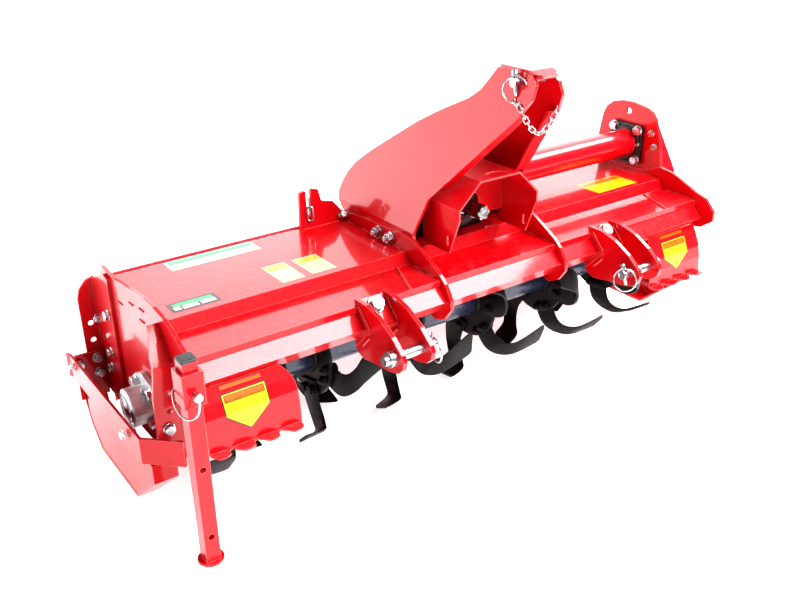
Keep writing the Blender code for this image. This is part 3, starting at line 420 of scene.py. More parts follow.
weld("sleeve_welds", [
    ((-735.0, -291.5, 418.0), (-735.0, -291.5, 360.0)), ((-735.0, -332.0, 418.0), (-735.0, -332.0, 360.0)),
], bead=2.8)
tab_y = span("chain_tab_left")[0].y
runs = []
for name in ("chain_tab_left", "chain_tab_right"):
    low, high = span(name)
    runs += stitches((low.x + 4.0, tab_y, DECK_Z), (high.x - 4.0, tab_y, DECK_Z), 4, 0.8)
weld("chain_tab_welds", runs, bead=2.8)


# ---- Bolts and nuts ----------------------------------------------------------
# Bright zinc-plated hexagon bolts and nuts, each on its washer. They are cold-headed and
# chamfered, so every hexagon has a round crown.
ZINC = (0.64, 0.65, 0.68)
ZINC_GREY = (0.38, 0.40, 0.43)
zinc = Finish("bright_zinc", ZINC, 0.24, metallic=1.0)
bloom = zinc.noise(90.0, 4.0, 0.6)
grain = zinc.noise(900.0, 2.0, 0.5)
worn = zinc.edge(0.0008)
plated = zinc.blend(zinc.between(bloom, 0.42, 0.72), ZINC, ZINC_GREY)
zinc.feed("Base Color", zinc.blend(worn * 0.6, plated, (0.80, 0.80, 0.82)))
zinc.feed("Roughness", zinc.between(bloom, 0.3, 0.75, 0.16, 0.42))
zinc.bump(grain * 0.5 + bloom * 0.5, 0.12, 0.0003, rounded=0.0005)
ZINC_PLATE = zinc.material


def aimed(place, way):
    """A frame at a place, its Z pointing that way."""
    turn = Vector(way).normalized().to_track_quat("Z", "Y")
    return Matrix.Translation(place) @ turn.to_matrix().to_4x4()


def lathe(bm, frame_, profile, sides=24):
    """Turned shape from (radius, height) pairs; a radius of 0 closes an end, as does a full loop."""
    rings = []
    for radius, height in profile:
        if rings and (radius, height) == profile[0]:
            rings.append(rings[0])
            continue
        if radius == 0.0:
            rings.append([bm.verts.new(frame_ @ Vector((0.0, 0.0, height)))])
            continue
        rings.append([bm.verts.new(frame_ @ Vector((
            radius * math.cos(math.tau * i / sides), radius * math.sin(math.tau * i / sides), height)))
            for i in range(sides)])
    for first, second in zip(rings, rings[1:]):
        for i in range(sides):
            j = (i + 1) % sides
            if len(first) == 1:
                bm.faces.new((first[0], second[i], second[j]))
            elif len(second) == 1:
                bm.faces.new((first[i], first[j], second[0]))
            else:
                bm.faces.new((first[i], first[j], second[j], second[i]))


def hexagon(bm, low, high, flats):
    """Hexagon with a chamfered crown, across flats, on the Z axis."""
    rings = []
    for height, corner, crown in ((low, 1.0, 0.0), (high, 1.0, 1.0), (high, 0.0, 0.0)):
        ring = []
        for i in range(12):
            radius = flats / 2.0 / (math.cos(math.pi / 6.0) if i % 2 == 0 else 1.0)
            drop = (0.15 if i % 2 == 0 else 0.03) * crown * (high - low)
            if not corner:
                radius = flats * 0.47
            a = math.tau * i / 12
            ring.append(bm.verts.new((radius * math.cos(a), radius * math.sin(a), height - drop)))
        rings.append(ring)
    for first, second in zip(rings, rings[1:]):
        for i in range(12):
            j = (i + 1) % 12
            bm.faces.new((first[i], first[j], second[j], second[i]))
    bm.faces.new(rings[-1])
    bm.faces.new(list(reversed(rings[0])))


def solid(name, bm, finish=None, smooth=None):
    """Close a shape's normals and make it an object."""
    bmesh.ops.recalc_face_normals(bm, faces=bm.faces)
    mesh = bpy.data.meshes.new(name)
    bm.to_mesh(mesh)
    bm.free()
    if finish:
        mesh.materials.append(finish)
    if smooth:
        mesh.shade_smooth()
        mesh.set_sharp_from_angle(angle=math.radians(smooth))
    return placed(name, mesh)


def fastener(name, height, tail):
    """Hexagon on its washer for a 1 m thread, with the bolt's end past a nut."""
    bm = bmesh.new()
    lathe(bm, Matrix(), [(0.0, 0.0), (0.98, 0.0), (1.05, 0.05), (1.05, 0.13), (0.98, 0.18), (0.0, 0.18)], 16)
    hexagon(bm, 0.18, 0.18 + height, 1.6)
    if tail:
        top = 0.18 + height
        thread = [(0.0, top - 0.1)]
        for i in range(4):
            thread += [(0.44, top + tail * i / 4.0), (0.5, top + tail * (i + 0.5) / 4.0)]
        lathe(bm, Matrix(), thread + [(0.40, top + tail), (0.0, top + tail)], 12)
    return solid(name, bm)


bolt_tree = Tree("fasteners", {"Fastener": "Object"})
shape = bolt_tree.node("GeometryNodeObjectInfo", inputs={0: bolt_tree.given["Fastener"]}, output=4)
way = bolt_tree.node("GeometryNodeInputNamedAttribute", {"data_type": "FLOAT_VECTOR"}, {"Name": "way"})
size = bolt_tree.node("GeometryNodeInputNamedAttribute", {"data_type": "FLOAT"}, {"Name": "size"})
stand = bolt_tree.node("FunctionNodeAlignRotationToVector", {"axis": "Z"}, {"Vector": way})
wrench = bolt_tree.node("FunctionNodeRandomValue", {"data_type": "FLOAT"}, {2: 0.0, 3: 1.05, "Seed": 5}, 1)
stand = bolt_tree.node("FunctionNodeRotateRotation", {"rotation_space": "LOCAL"}, {
    0: stand, 1: bolt_tree.node("FunctionNodeAxisAngleToRotation", inputs={
        "Axis": (0.0, 0.0, 1.0), "Angle": wrench})})
bolt_tree.end(bolt_tree.node("GeometryNodeInstanceOnPoints", inputs={
    "Points": bolt_tree.given["Start"], "Instance": shape, "Rotation": stand, "Scale": size}))
bolt_head = fastener("bolt_head", 0.66, 0.0)
bolt_nut = fastener("bolt_nut", 0.82, 0.5)


def fasten(name, kind, places, body="frame", finish=ZINC_PLATE):
    """Bolt heads or nuts at ((x, y, z), way, thread) places, in millimetres."""
    start = bpy.data.meshes.new(name)
    start.from_pydata([at(*place) for place, way_, thread in places], [], [])
    start.attributes.new("way", "FLOAT_VECTOR", "POINT")
    start.attributes.new("size", "FLOAT", "POINT")
    for i, (place, way_, thread) in enumerate(places):
        start.attributes["way"].data[i].vector = way_
        start.attributes["size"].data[i].value = thread * MM
    piece = grown(name, start, bolt_tree, Fastener=kind, Finish=finish)
    return fixed(piece, body)


def zinc_piece(name, bm, smooth=35):
    """Close a shape as a zinc-plated piece of the frame."""
    return fixed(solid(name, bm, ZINC_PLATE, smooth), "frame")


def turned(name, place, way, profile, sides, finish=ZINC_PLATE, body="frame"):
    """One turned piece, whose profile in metres runs that way from its place."""
    bm = bmesh.new()
    lathe(bm, aimed(place, way), profile, sides)
    return fixed(solid(name, bm, finish, 35), body)


# Three bolts clamp each mast flank's foot to its rib, heads inside and nuts outside.
RIB_BOLTS = ((136.0, 440.0), (-12.0, 441.0), (-60.0, 441.0))
RIB_GRIP = 16.4     # the rib and the flank's foot together
outside = [(span("rib_left")[0].x, -1), (span("rib_right")[1].x, 1)]
fasten("rib_bolt_heads", bolt_head, [
    ((x - side * RIB_GRIP, y, z), (-side, 0, 0), 14.0) for x, side in outside for y, z in RIB_BOLTS])
fasten("rib_bolt_nuts", bolt_nut, [
    ((x, y, z), (side, 0, 0), 14.0) for x, side in outside for y, z in RIB_BOLTS])

# One long bolt through each hitch clamp, and a nut under it.
hitch_x = [sum(c.x for c in span("hitch_" + name)) / 2.0 for name in ("left", "right")]
CLAMP_Y = -250.5
fasten("hitch_bolts", bolt_head, [((x, CLAMP_Y, 394.5), (0, -0.75, 0.66), 18.0) for x in hitch_x])
fasten("hitch_nuts", bolt_nut, [((x, CLAMP_Y, 309.5), (0, -0.75, -0.66), 18.0) for x in hitch_x])

# The stands' brackets: bolts through the side angle's legs, the flanges and the strap.
ANGLE_BOLTS = ((174.0, 237.0), (186.0, 194.0), (156.0, 337.0))
SKID_BOLTS_Z = (203.0, 166.0)
heads = []
nuts = []
for side, name in ((-1, "left"), (1, "right")):
    low, high = span("rear_bracket_" + name)
    leg_x = side * (PLATE_IN + 15.3)
    far = high.x if side > 0 else -low.x
    for y, z in ANGLE_BOLTS:
        heads.append(((leg_x, y, z), (side, 0, 0), 12.0))
        nuts.append(((side * PLATE_IN, y, z), (-side, 0, 0), 12.0))
    for z in SKID_BOLTS_Z:
        face = high.y - (6.0 if side > 0 else 12.3)
        x = side * (far - 20.0) if side > 0 else -757.0
        heads.append(((x, face, z), (0, -1, 0), 12.0))
        nuts.append(((x, span("skid_" + name)[1].y, z), (0, 1, 0), 12.0))
    low, high = span("front_bracket_" + name)
    x = side * ((high.x if side > 0 else -low.x) - 23.0)
    heads.append(((x, low.y, 228.0), (0, -1, 0), 12.0))
    nuts.append(((x, low.y + 13.2, 228.0), (0, 1, 0), 12.0))
heads += [((-800.0, 227.4, 200.0), (0, -1, 0), 11.0), ((-738.0, 239.9, 296.0), (0, -1, 0), 12.0)]
strap_face = span("guard_strap")[0].x
heads += [
    ((strap_face + 0.2, -81.0, 186.0), (-1, 0, 0), 10.0), ((strap_face + 1.6, 246.0, 190.0), (-1, 0, 0), 10.0)]
nuts += [((strap_face + 6.2, -81.0, 186.0), (1, 0, 0), 12.0)]
fasten("stand_bolts", bolt_head, heads)
fasten("stand_nuts", bolt_nut, nuts)


# ---- Rotor bearing -----------------------------------------------------------
# A grey iron casting on the left side plate, sand-cast with machined faces: four large bolts
# through its flange, a pressed cap and a grease nipple over the rotor's stub.
CAST = (0.72, 0.74, 0.76)
CAST_SHADE = (0.46, 0.47, 0.50)
cast = Finish("cast_silver", CAST, 0.42, metallic=0.55)
sand = cast.noise(240.0, 4.0, 0.6)
stain = cast.noise(30.0, 3.0, 0.6)
cast.feed("Base Color", cast.blend(cast.between(stain + sand * 0.4, 0.55, 0.95), CAST, CAST_SHADE))
cast.feed("Roughness", cast.between(sand, 0.3, 0.7, 0.3, 0.55))
cast.bump(sand, 0.35, 0.0008, rounded=0.002)
repaint(["bearing_housing"], cast.material)

flange_x = span("bearing_housing")[1].x - 12.0
hub_x = span("bearing_housing")[0].x
BEARING_BOLTS = ((-38.0, -27.0), (41.0, -33.0), (44.0, 30.0), (-42.0, 37.0))
fasten("bearing_bolts", bolt_head, [
    ((flange_x, ROTOR_Y + y, ROTOR_Z + z), (-1, 0, 0), 15.0) for y, z in BEARING_BOLTS])
fasten("bearing_nuts", bolt_nut, [
    ((-PLATE_IN, ROTOR_Y + y, ROTOR_Z + z), (1, 0, 0), 15.0) for y, z in BEARING_BOLTS])
turned("bearing_cap", at(hub_x + 1.0, ROTOR_Y, ROTOR_Z), (-1, 0, 0), [
    (0.0, 0.0), (0.036, 0.0), (0.036, 0.002), (0.030, 0.004), (0.029, 0.0065), (0.012, 0.008),
    (0.011, 0.0085), (0.0, 0.0085)], 32)
GREASE_NIPPLE = [   # a collar, a neck and a ball tip
    (0.0, -0.001), (0.0046, -0.001), (0.0046, 0.005), (0.0028, 0.0065), (0.0022, 0.009),
    (0.0033, 0.0105), (0.0031, 0.0125), (0.0015, 0.014), (0.0, 0.0142),
]
nipple_place = at(hub_x + 28.0, ROTOR_Y - 20.0, ROTOR_Z + 37.0)
turned("bearing_nipple", nipple_place, (0, -0.47, 0.88), GREASE_NIPPLE, 12)


# ---- Draft pins, linch pins and chain ----------------------------------------
# Zinc-plated round bar pins. A sprung wire ring snaps a linch pin through each pin's end,
# and a short welded chain keeps the top pin's ring to the mast.
def tube(bm, points, radius, sides=8, closed=False):
    """Round wire along points, its ends capped unless it is closed."""
    count = len(points)
    rings = []
    normal = None
    for i, point in enumerate(points):
        before = points[i - 1] if i or closed else point
        after = points[(i + 1) % count] if i + 1 < count or closed else point
        tangent = (after - before).normalized()
        if normal is None:
            normal = tangent.orthogonal()
        normal = (normal - tangent * normal.dot(tangent)).normalized()
        across = tangent.cross(normal)
        turns = [math.tau * k / sides for k in range(sides)]
        rings.append([
            bm.verts.new(point + radius * (math.cos(a) * normal + math.sin(a) * across)) for a in turns])
    pairs = list(zip(rings, rings[1:]))
    if closed:
        first, last = rings[0], rings[-1]
        shift = min(range(sides), key=lambda k: (first[k].co - last[0].co).length)
        pairs.append((last, first[shift:] + first[:shift]))
    for first, second in pairs:
        for i in range(sides):
            j = (i + 1) % sides
            bm.faces.new((first[i], first[j], second[j], second[i]))
    if not closed:
        bm.faces.new(rings[0])
        bm.faces.new(list(reversed(rings[-1])))


def linch_pin(name, centre, shaft, facing, ring=28.0, thick=9.0, length=44.0):
    """A linch pin through a round bar's end: tapered shaft, square head and sprung ring."""
    centre = at(*centre)
    shaft = Vector(shaft).normalized()
    facing = Vector(facing).normalized()
    across = shaft.cross(facing).normalized()
    bm = bmesh.new()
    half = length * MM / 2.0
    r = thick * MM / 2.0
    lathe(bm, aimed(centre, shaft), [
        (0.0, -half - 0.003), (r * 0.55, -half - 0.003), (r, -half + 0.003), (r, half - 0.007),
        (r * 1.7, half - 0.007), (r * 1.75, half), (r * 1.45, half + 0.004), (0.0, half + 0.004)], 16)
    middle = centre - shaft * 0.012 + facing * 0.004
    points = []
    for i in range(36):
        a = math.tau * (i + 0.5) / 36
        points.append(middle + ring * MM * (math.sin(a) * across + math.cos(a) * shaft * 1.04))
    tube(bm, points, 0.0021, 8, True)
    return zinc_piece(name, bm, 40), middle - shaft * ring * MM * 1.04


repaint(["top_pin", "lower_pin_left", "lower_pin_right", "hinge_rod"], ZINC_PLATE)
pin_low, pin_high = span("top_pin")
pin_y = (pin_low.y + pin_high.y) / 2.0
pin_z = (pin_low.z + pin_high.z) / 2.0
END = 9.0   # from a pin's end to its linch pin
ring_foot = linch_pin(
    "top_linch", (pin_low.x + END, pin_y, pin_z - 2.5), (0.1, 0.25, 0.96), (-0.82, -0.56, 0.12), 25.0)[1]
low, high = span("lower_pin_left")
lower_y = (low.y + high.y) / 2.0
lower_z = (low.z + high.z) / 2.0
linch_pin("lower_linch_left", (high.x - END, lower_y, lower_z), (0.0, 0.45, 0.9), (1.0, -0.1, 0.1), 26.0)
low, high = span("lower_pin_right")
linch_pin("lower_linch_right", (low.x + END, lower_y, lower_z), (0.0, 0.35, 0.94), (-0.8, -0.58, 0.1), 26.0)

chain_tree = Tree("chain_run", {"Link": "Object", "Links": "Int"})
run = chain_tree.node("GeometryNodeMeshToCurve", inputs={0: chain_tree.given["Start"]})
run = chain_tree.node("GeometryNodeResampleCurve", {"mode": "COUNT"}, {
    "Curve": run, "Count": chain_tree.given["Links"]})
along = chain_tree.node("FunctionNodeAlignRotationToVector", {"axis": "X"}, {
    "Vector": chain_tree.node("GeometryNodeInputTangent")})
turn = chain_tree.node("ShaderNodeMath", {"operation": "MULTIPLY"}, {
    0: chain_tree.node("GeometryNodeInputIndex"), 1: math.pi / 2.0})
turn = chain_tree.node("ShaderNodeMath", {"operation": "ADD"}, {0: turn, 1: 0.6})
quarter = chain_tree.node("FunctionNodeAxisAngleToRotation", inputs={"Axis": (1.0, 0.0, 0.0), "Angle": turn})
along = chain_tree.node("FunctionNodeRotateRotation", {"rotation_space": "LOCAL"}, {0: along, 1: quarter})
link_shape = chain_tree.node("GeometryNodeObjectInfo", inputs={0: chain_tree.given["Link"]}, output=4)
chain_tree.end(chain_tree.node("GeometryNodeInstanceOnPoints", inputs={
    "Points": run, "Instance": link_shape, "Rotation": along}))


def oval_link(name, length, width, wire):
    """One welded chain link, lying along X."""
    bm = bmesh.new()
    points = []
    reach = (length - width) / 2.0
    for i in range(24):
        a = math.tau * i / 24
        x = (width - wire) / 2.0 * math.cos(a) + (reach if math.cos(a) > 0.0 else -reach)
        points.append(Vector((x, (width - wire) / 2.0 * math.sin(a), 0.0)) * MM)
    tube(bm, points, wire * MM / 2.0, 8, True)
    return solid(name, bm)


def between(points, i, t):
    """The place t of the way from point i to the next, on a smooth curve through all of them."""
    last = len(points) - 1
    a, b, c, d = (points[max(0, min(last, i + k))] for k in (-1, 0, 1, 2))
    return 0.5 * (2.0 * b + (c - a) * t + (2.0 * a - 5.0 * b + 4.0 * c - d) * t * t
                  + (3.0 * b - a - 3.0 * c + d) * t ** 3)


def chain(name, link_object, points, count):
    """Chain through points, smoothed into one curve of evenly spaced links."""
    start = bpy.data.meshes.new(name)
    fine = [between(points, i, k / 8.0) for i in range(len(points) - 1) for k in range(8)]
    fine.append(points[-1])
    start.from_pydata(fine, [(i, i + 1) for i in range(len(fine) - 1)], [])
    piece = grown(name, start, chain_tree, Link=link_object, Links=count, Finish=ZINC_PLATE)
    piece.data.shade_smooth()
    return fixed(piece, "frame")


small_link = oval_link("small_link", 22.0, 12.5, 2.8)
chain("top_chain", small_link, [
    ring_foot, at(-24.0, -352.0, 768.0), at(-2.0, -350.0, 738.0), at(24.0, -348.0, 718.0),
    at(46.0, -347.0, 722.0), at(64.0, -346.0, 740.0), at(76.0, -346.0, 760.0)], 12)
long_link = oval_link("long_link", 40.0, 20.0, 5.0)
for name, x in (
        ("tab_chain", span("chain_tab_left")[0].x + 26.0),
        ("tab_chain_right", span("chain_tab_right")[1].x - 26.0)):
    chain(name, long_link, [at(x, tab_y - 5.0, DECK_Z + 66.0), at(x, tab_y - 6.5, DECK_Z + 38.0)], 2)


# ---- Gearbox, cross tube and gear case ---------------------------------------
# The gearbox and the cross tube's square flange are iron castings under black paint, bolted up
# with zinc bolts. The tube itself is red, and so is the pressed gear case on the right side.
BLACK = (0.012, 0.013, 0.015)
BLACK_SCUFF = (0.085, 0.085, 0.09)
black = Finish("black_casting_paint", BLACK, 0.38, coat=0.25, coat_roughness=0.2)
rough_cast = black.noise(200.0, 4.0, 0.6)
patches = black.noise(25.0, 3.0, 0.6)
rubbed = black.edge(0.0015) * black.between(patches, 0.35, 0.6, 0.2, 0.9)
black.feed("Base Color", black.blend(rubbed, BLACK, BLACK_SCUFF))
black.feed("Roughness", black.between(patches, 0.3, 0.7, 0.28, 0.5))
black.bump(rough_cast, 0.25, 0.0008, rounded=0.0015)
repaint(["gearbox"], black.material)

box_low, box_high = span("gearbox")
tube_low, tube_high = span("cross_tube")
DRIVE_Y = (tube_low.y + tube_high.y) / 2.0
DRIVE_Z = (tube_low.z + tube_high.z) / 2.0
TUBE_R = 0.038
end = (tube_high.x - tube_low.x) * MM - 0.004
cross_tube = turned("cross_tube_red", at(tube_low.x, DRIVE_Y, DRIVE_Z), (1, 0, 0), [
    (0.0, 0.0), (0.053, 0.0), (0.054, 0.001), (0.054, 0.011), (0.053, 0.012), (0.0425, 0.012),
    (0.0385, 0.016), (TUBE_R, 0.02), (TUBE_R, end - 0.0115), (0.0395, end - 0.0095),
    (0.0415, end - 0.0060), (0.0415, end), (0.0, end)], 64, RED_PAINT)


def plate(bm, outline, frame_, thickness, bevel=0.0):
    """Flat plate from an outline, its edges eased by the bevel."""
    rings = []
    levels = [(0.0, bevel), (thickness, bevel)]
    if bevel:
        levels[1:1] = [(bevel, 0.0), (thickness - bevel, 0.0)]
    centre = sum((Vector(p) for p in outline), Vector((0.0, 0.0))) / len(outline)
    for height, inset in levels:
        ring = []
        for p in outline:
            out = Vector(p) - centre
            p2 = centre + out * (1.0 - inset / out.length)
            ring.append(bm.verts.new(frame_ @ Vector((p2.x, p2.y, height))))
        rings.append(ring)
    for first, second in zip(rings, rings[1:]):
        for i in range(len(outline)):
            j = (i + 1) % len(outline)
            bm.faces.new((first[i], first[j], second[j], second[i]))
    bm.faces.new(rings[-1])
    bm.faces.new(list(reversed(rings[0])))


FLANGE = 0.055
CORNER = 0.012
square = []
for cx, cy, start_angle in ((1, 1, 0), (-1, 1, 90), (-1, -1, 180), (1, -1, 270)):
    for k in range(5):
        a = math.radians(start_angle + 22.5 * k)
        square.append((
            cx * (FLANGE - CORNER) + CORNER * math.cos(a), cy * (FLANGE - CORNER) + CORNER * math.sin(a)))
bm = bmesh.new()
plate(bm, square, aimed(at(tube_high.x - 10.0, DRIVE_Y, DRIVE_Z), (1, 0, 0)), 0.010, 0.001)
lathe(bm, aimed(at(tube_high.x - 13.4, DRIVE_Y, DRIVE_Z), (1, 0, 0)), [
    (0.0, 0.0), (0.0465, 0.0), (0.049, 0.002), (0.050, 0.004), (0.0, 0.004)], 40)
fixed(solid("cross_flange", bm, black.material, 30), "frame")
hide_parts("cross_tube")
corners = [(DRIVE_Y + i * 42.0, DRIVE_Z + j * 42.0) for i in (-1, 1) for j in (-1, 1)]
fasten("flange_bolts", bolt_head, [((tube_high.x - 10.0, y, z), (-1, 0, 0), 14.0) for y, z in corners])
nipple_place = at(tube_high.x - 10.0, DRIVE_Y - 49.0, DRIVE_Z + 4.0)
turned("flange_nipple", nipple_place, (-1, 0, 0), GREASE_NIPPLE, 12)
plate_face = span("drive_plate")[0].x
fasten("drive_plate_bolts", bolt_head, [
    ((plate_face, y, z), (-1, 0, 0), 10.0) for y, z in ((-83.0, 504.0), (-70.0, 540.0))])

front_neck = box_low.y
DRIVE_X = (box_low.x + box_high.x) / 2.0
fasten("gearbox_bolts", bolt_head, [
    ((DRIVE_X + 44.0 * math.cos(a), front_neck, DRIVE_Z + 44.0 * math.sin(a)), (0, -1, 0), 9.0)
    for a in [math.radians(45.0 + 90.0 * k) for k in range(4)]])
fasten("gearbox_cover_bolts", bolt_head, [
    ((DRIVE_X + 48.0 * math.cos(a), box_high.y, DRIVE_Z + 48.0 * math.sin(a)), (0, 1, 0), 8.0)
    for a in [math.radians(60.0 * k + 30.0) for k in range(6)]])
top_z = box_high.z
fasten("gearbox_top_bolts", bolt_head, [
    ((DRIVE_X + x, y, top_z), (0, 0, 1), 8.0) for x in (-48.0, 48.0) for y in (-60.0, 80.0)])
turned("filler_plug", at(DRIVE_X, 10.0, top_z), (0, 0, 1), [
    (0.0, -0.001), (0.017, -0.001), (0.017, 0.006), (0.0125, 0.007), (0.0125, 0.017), (0.010, 0.019),
    (0.0, 0.019)], 20)

# A round of bolts holds the gear case; a level plug and a drain plug face outwards.
case_face = span("gear_case")[1].x
EDGE = 14.0   # from the case's edge to its bolts
IDLER_Y, IDLER_Z, IDLER_R = -16.0, 390.0, 103.0
rim = []
for y, z, radius, first, last, count in (
        (DRIVE_Y, DRIVE_Z, 66.0, 5.0, 165.0, 4), (IDLER_Y, IDLER_Z, IDLER_R, 190.0, 205.0, 1),
        (IDLER_Y, IDLER_Z, IDLER_R, -25.0, -10.0, 1), (ROTOR_Y, ROTOR_Z, 96.0, 195.0, 345.0, 4)):
    for k in range(count + 1):
        a = math.radians(first + (last - first) * k / max(1, count))
        reach = radius - EDGE
        rim.append(((case_face, y + reach * math.cos(a), z + reach * math.sin(a)), (1, 0, 0), 9.0))
fasten("gear_case_bolts", bolt_head, rim)
fasten("gear_case_plugs", bolt_head, [
    ((case_face, -20.0, 330.0), (1, 0, 0), 16.0), ((case_face, ROTOR_Y, 150.0), (1, 0, 0), 16.0)])

# ---- Input shaft -------------------------------------------------------------
# Bright milled steel with six splines, greased, with a centre hole in its end. A black rubber
# seal closes the gearbox round it.
STEEL = (0.27, 0.26, 0.26)
steel = Finish("milled_steel", STEEL, 0.32, metallic=1.0)
oil = steel.noise(55.0, 3.0, 0.6)
lathe_marks = steel.noise(60.0, 3.0, 0.5, stretch=(1.0, 30.0, 1.0))
steel.feed("Base Color", steel.blend(steel.between(oil, 0.45, 0.7), STEEL, (0.05, 0.045, 0.04)))
steel.feed("Roughness", steel.between(oil, 0.3, 0.7, 0.22, 0.46))
steel.bump(lathe_marks, 0.12, 0.0003, rounded=0.0006)
repaint(["input_shaft"], steel.material)
shaft_low, shaft_high = span("input_shaft")
shaft_z = (shaft_low.z + shaft_high.z) / 2.0
turned("shaft_centre", at(DRIVE_X, shaft_low.y + 0.4, shaft_z), (0, -1, 0), [
    (0.0, -0.004), (0.0035, 0.0), (0.0065, 0.0), (0.0065, 0.0012), (0.0115, 0.0012), (0.0125, 0.0004),
    (0.0125, -0.004), (0.0, -0.004)], 28, steel.material, "pto_shaft")
turned("shaft_seal", at(DRIVE_X, front_neck + 0.5, shaft_z), (0, -1, 0), [
    (0.0226, 0.0), (0.034, 0.0), (0.035, 0.004), (0.031, 0.008), (0.0245, 0.009), (0.0228, 0.006),
    (0.0226, 0.0)], 36, black.material)


# ---- Rotor -------------------------------------------------------------------
# A navy tube with six welded discs. Each disc takes six forged L knives under black paint,
# three bent each way, each held by two bolts.
NAVY = (0.026, 0.033, 0.070)
navy = Finish("navy_paint", NAVY, 0.3, coat=0.5, coat_roughness=0.12)
fade = navy.noise(12.0, 4.0, 0.6)
scratch = navy.noise(150.0, 3.0, 0.7)
navy.feed("Base Color", navy.blend(navy.between(fade + scratch * 0.3, 0.5, 0.95), NAVY, (0.044, 0.054, 0.10)))
navy.feed("Roughness", navy.between(scratch, 0.3, 0.7, 0.22, 0.42))
navy.bump(scratch, 0.08, 0.0005, rounded=0.001)
repaint(["rotor_tube"], navy.material)

knife_black = Finish("knife_paint", (0.009, 0.008, 0.009), 0.5)
knife_black.shader.inputs["Specular IOR Level"].default_value = 0.3
chips = knife_black.noise(160.0, 4.0, 0.65)
smears = knife_black.noise(30.0, 3.0, 0.6)
bare = knife_black.edge(0.002) * knife_black.between(chips, 0.5, 0.62, 0.0, 0.8)
tint = knife_black.blend(knife_black.between(smears, 0.4, 0.75), (0.009, 0.008, 0.009), (0.018, 0.012, 0.012))
knife_black.feed("Base Color", knife_black.blend(bare, tint, (0.10, 0.095, 0.095)))
knife_black.feed("Roughness", knife_black.between(smears, 0.3, 0.7, 0.34, 0.55))
knife_black.bump(chips * 0.5 + smears * 0.5, 0.2, 0.0008, rounded=0.0015)

DISC_T = 9.0
KNIFE_T = 7.0
KNIFE_W = 64.0
BOLT_R = 92.0
STATIONS = [   # radius, sweep back in degrees, reach across, how far the plate has turned over
    (70.0, 0.0, 0.0, 0.0), (118.0, 0.0, 0.0, 0.0), (150.0, -5.0, 2.0, 0.06),
    (176.0, -14.0, 14.0, 0.5), (191.0, -23.0, 34.0, 0.86), (194.5, -31.0, 90.0, 1.0),
]
SECTION = [   # a knife's cross-section: share of its width, share of its thickness
    (-0.5, 0.35), (-0.34, 0.0), (0.46, 0.0), (0.5, 0.15), (0.5, 0.85), (0.46, 1.0), (-0.34, 1.0), (-0.5, 0.6),
]


def knife(name, side):
    """One forged knife: flat shank, curved neck, and a foot ground to an edge."""
    bm = bmesh.new()
    rings = []
    steps = 26
    for k in range(steps + 1):
        t = (len(STATIONS) - 1.0) * k / steps
        i = min(int(t), len(STATIONS) - 2)
        radius, sweep, across, over = (between(column, i, t - i) for column in zip(*STATIONS))
        wide = KNIFE_W - 4.0 * min(1.0, over * 2.0)
        if k == steps:
            wide -= 8.0
        turn = over * math.pi / 2.0
        ring = []
        for chord, depth in SECTION:
            r = radius - math.sin(turn) * depth * KNIFE_T
            tangent = chord * wide
            a = math.radians(sweep)
            out = math.sqrt(max(1.0, r * r - (tangent * over) ** 2))
            x = side * (DISC_T / 2.0 + across + math.cos(turn) * depth * KNIFE_T)
            y = out * math.cos(a) - tangent * math.sin(a)
            z = out * math.sin(a) + tangent * math.cos(a)
            ring.append(bm.verts.new(Vector((x, y, z)) * MM))
        rings.append(ring)
    for first, second in zip(rings, rings[1:]):
        for i in range(len(SECTION)):
            j = (i + 1) % len(SECTION)
            bm.faces.new((first[i], first[j], second[j], second[i]))
    bm.faces.new(rings[0])
    bm.faces.new(list(reversed(rings[-1])))
    return solid(name, bm, smooth=28)


rotor_tree = Tree("knife_rows", {"Left Knife": "Object", "Right Knife": "Object", "Disc": "Object"})
spot = {}
for label in ("angle", "kind"):
    spot[label] = rotor_tree.node("GeometryNodeInputNamedAttribute", {"data_type": "FLOAT"}, {"Name": label})
spin_turn = rotor_tree.node("FunctionNodeAxisAngleToRotation", inputs={
    "Axis": (1.0, 0.0, 0.0), "Angle": spot["angle"]})
together = rotor_tree.group.nodes.new("GeometryNodeJoinGeometry")
for index, label in enumerate(("Left Knife", "Right Knife", "Disc")):
    shape = rotor_tree.node("GeometryNodeObjectInfo", inputs={0: rotor_tree.given[label]}, output=4)
    here = rotor_tree.node("FunctionNodeCompare", {"data_type": "FLOAT", "operation": "EQUAL"}, {
        0: spot["kind"], 1: float(index), 12: 0.1})
    put = rotor_tree.node("GeometryNodeInstanceOnPoints", inputs={
        "Points": rotor_tree.given["Start"], "Selection": here, "Instance": shape, "Rotation": spin_turn})
    rotor_tree.group.links.new(put, together.inputs[0])
rotor_tree.end(together.outputs[0])

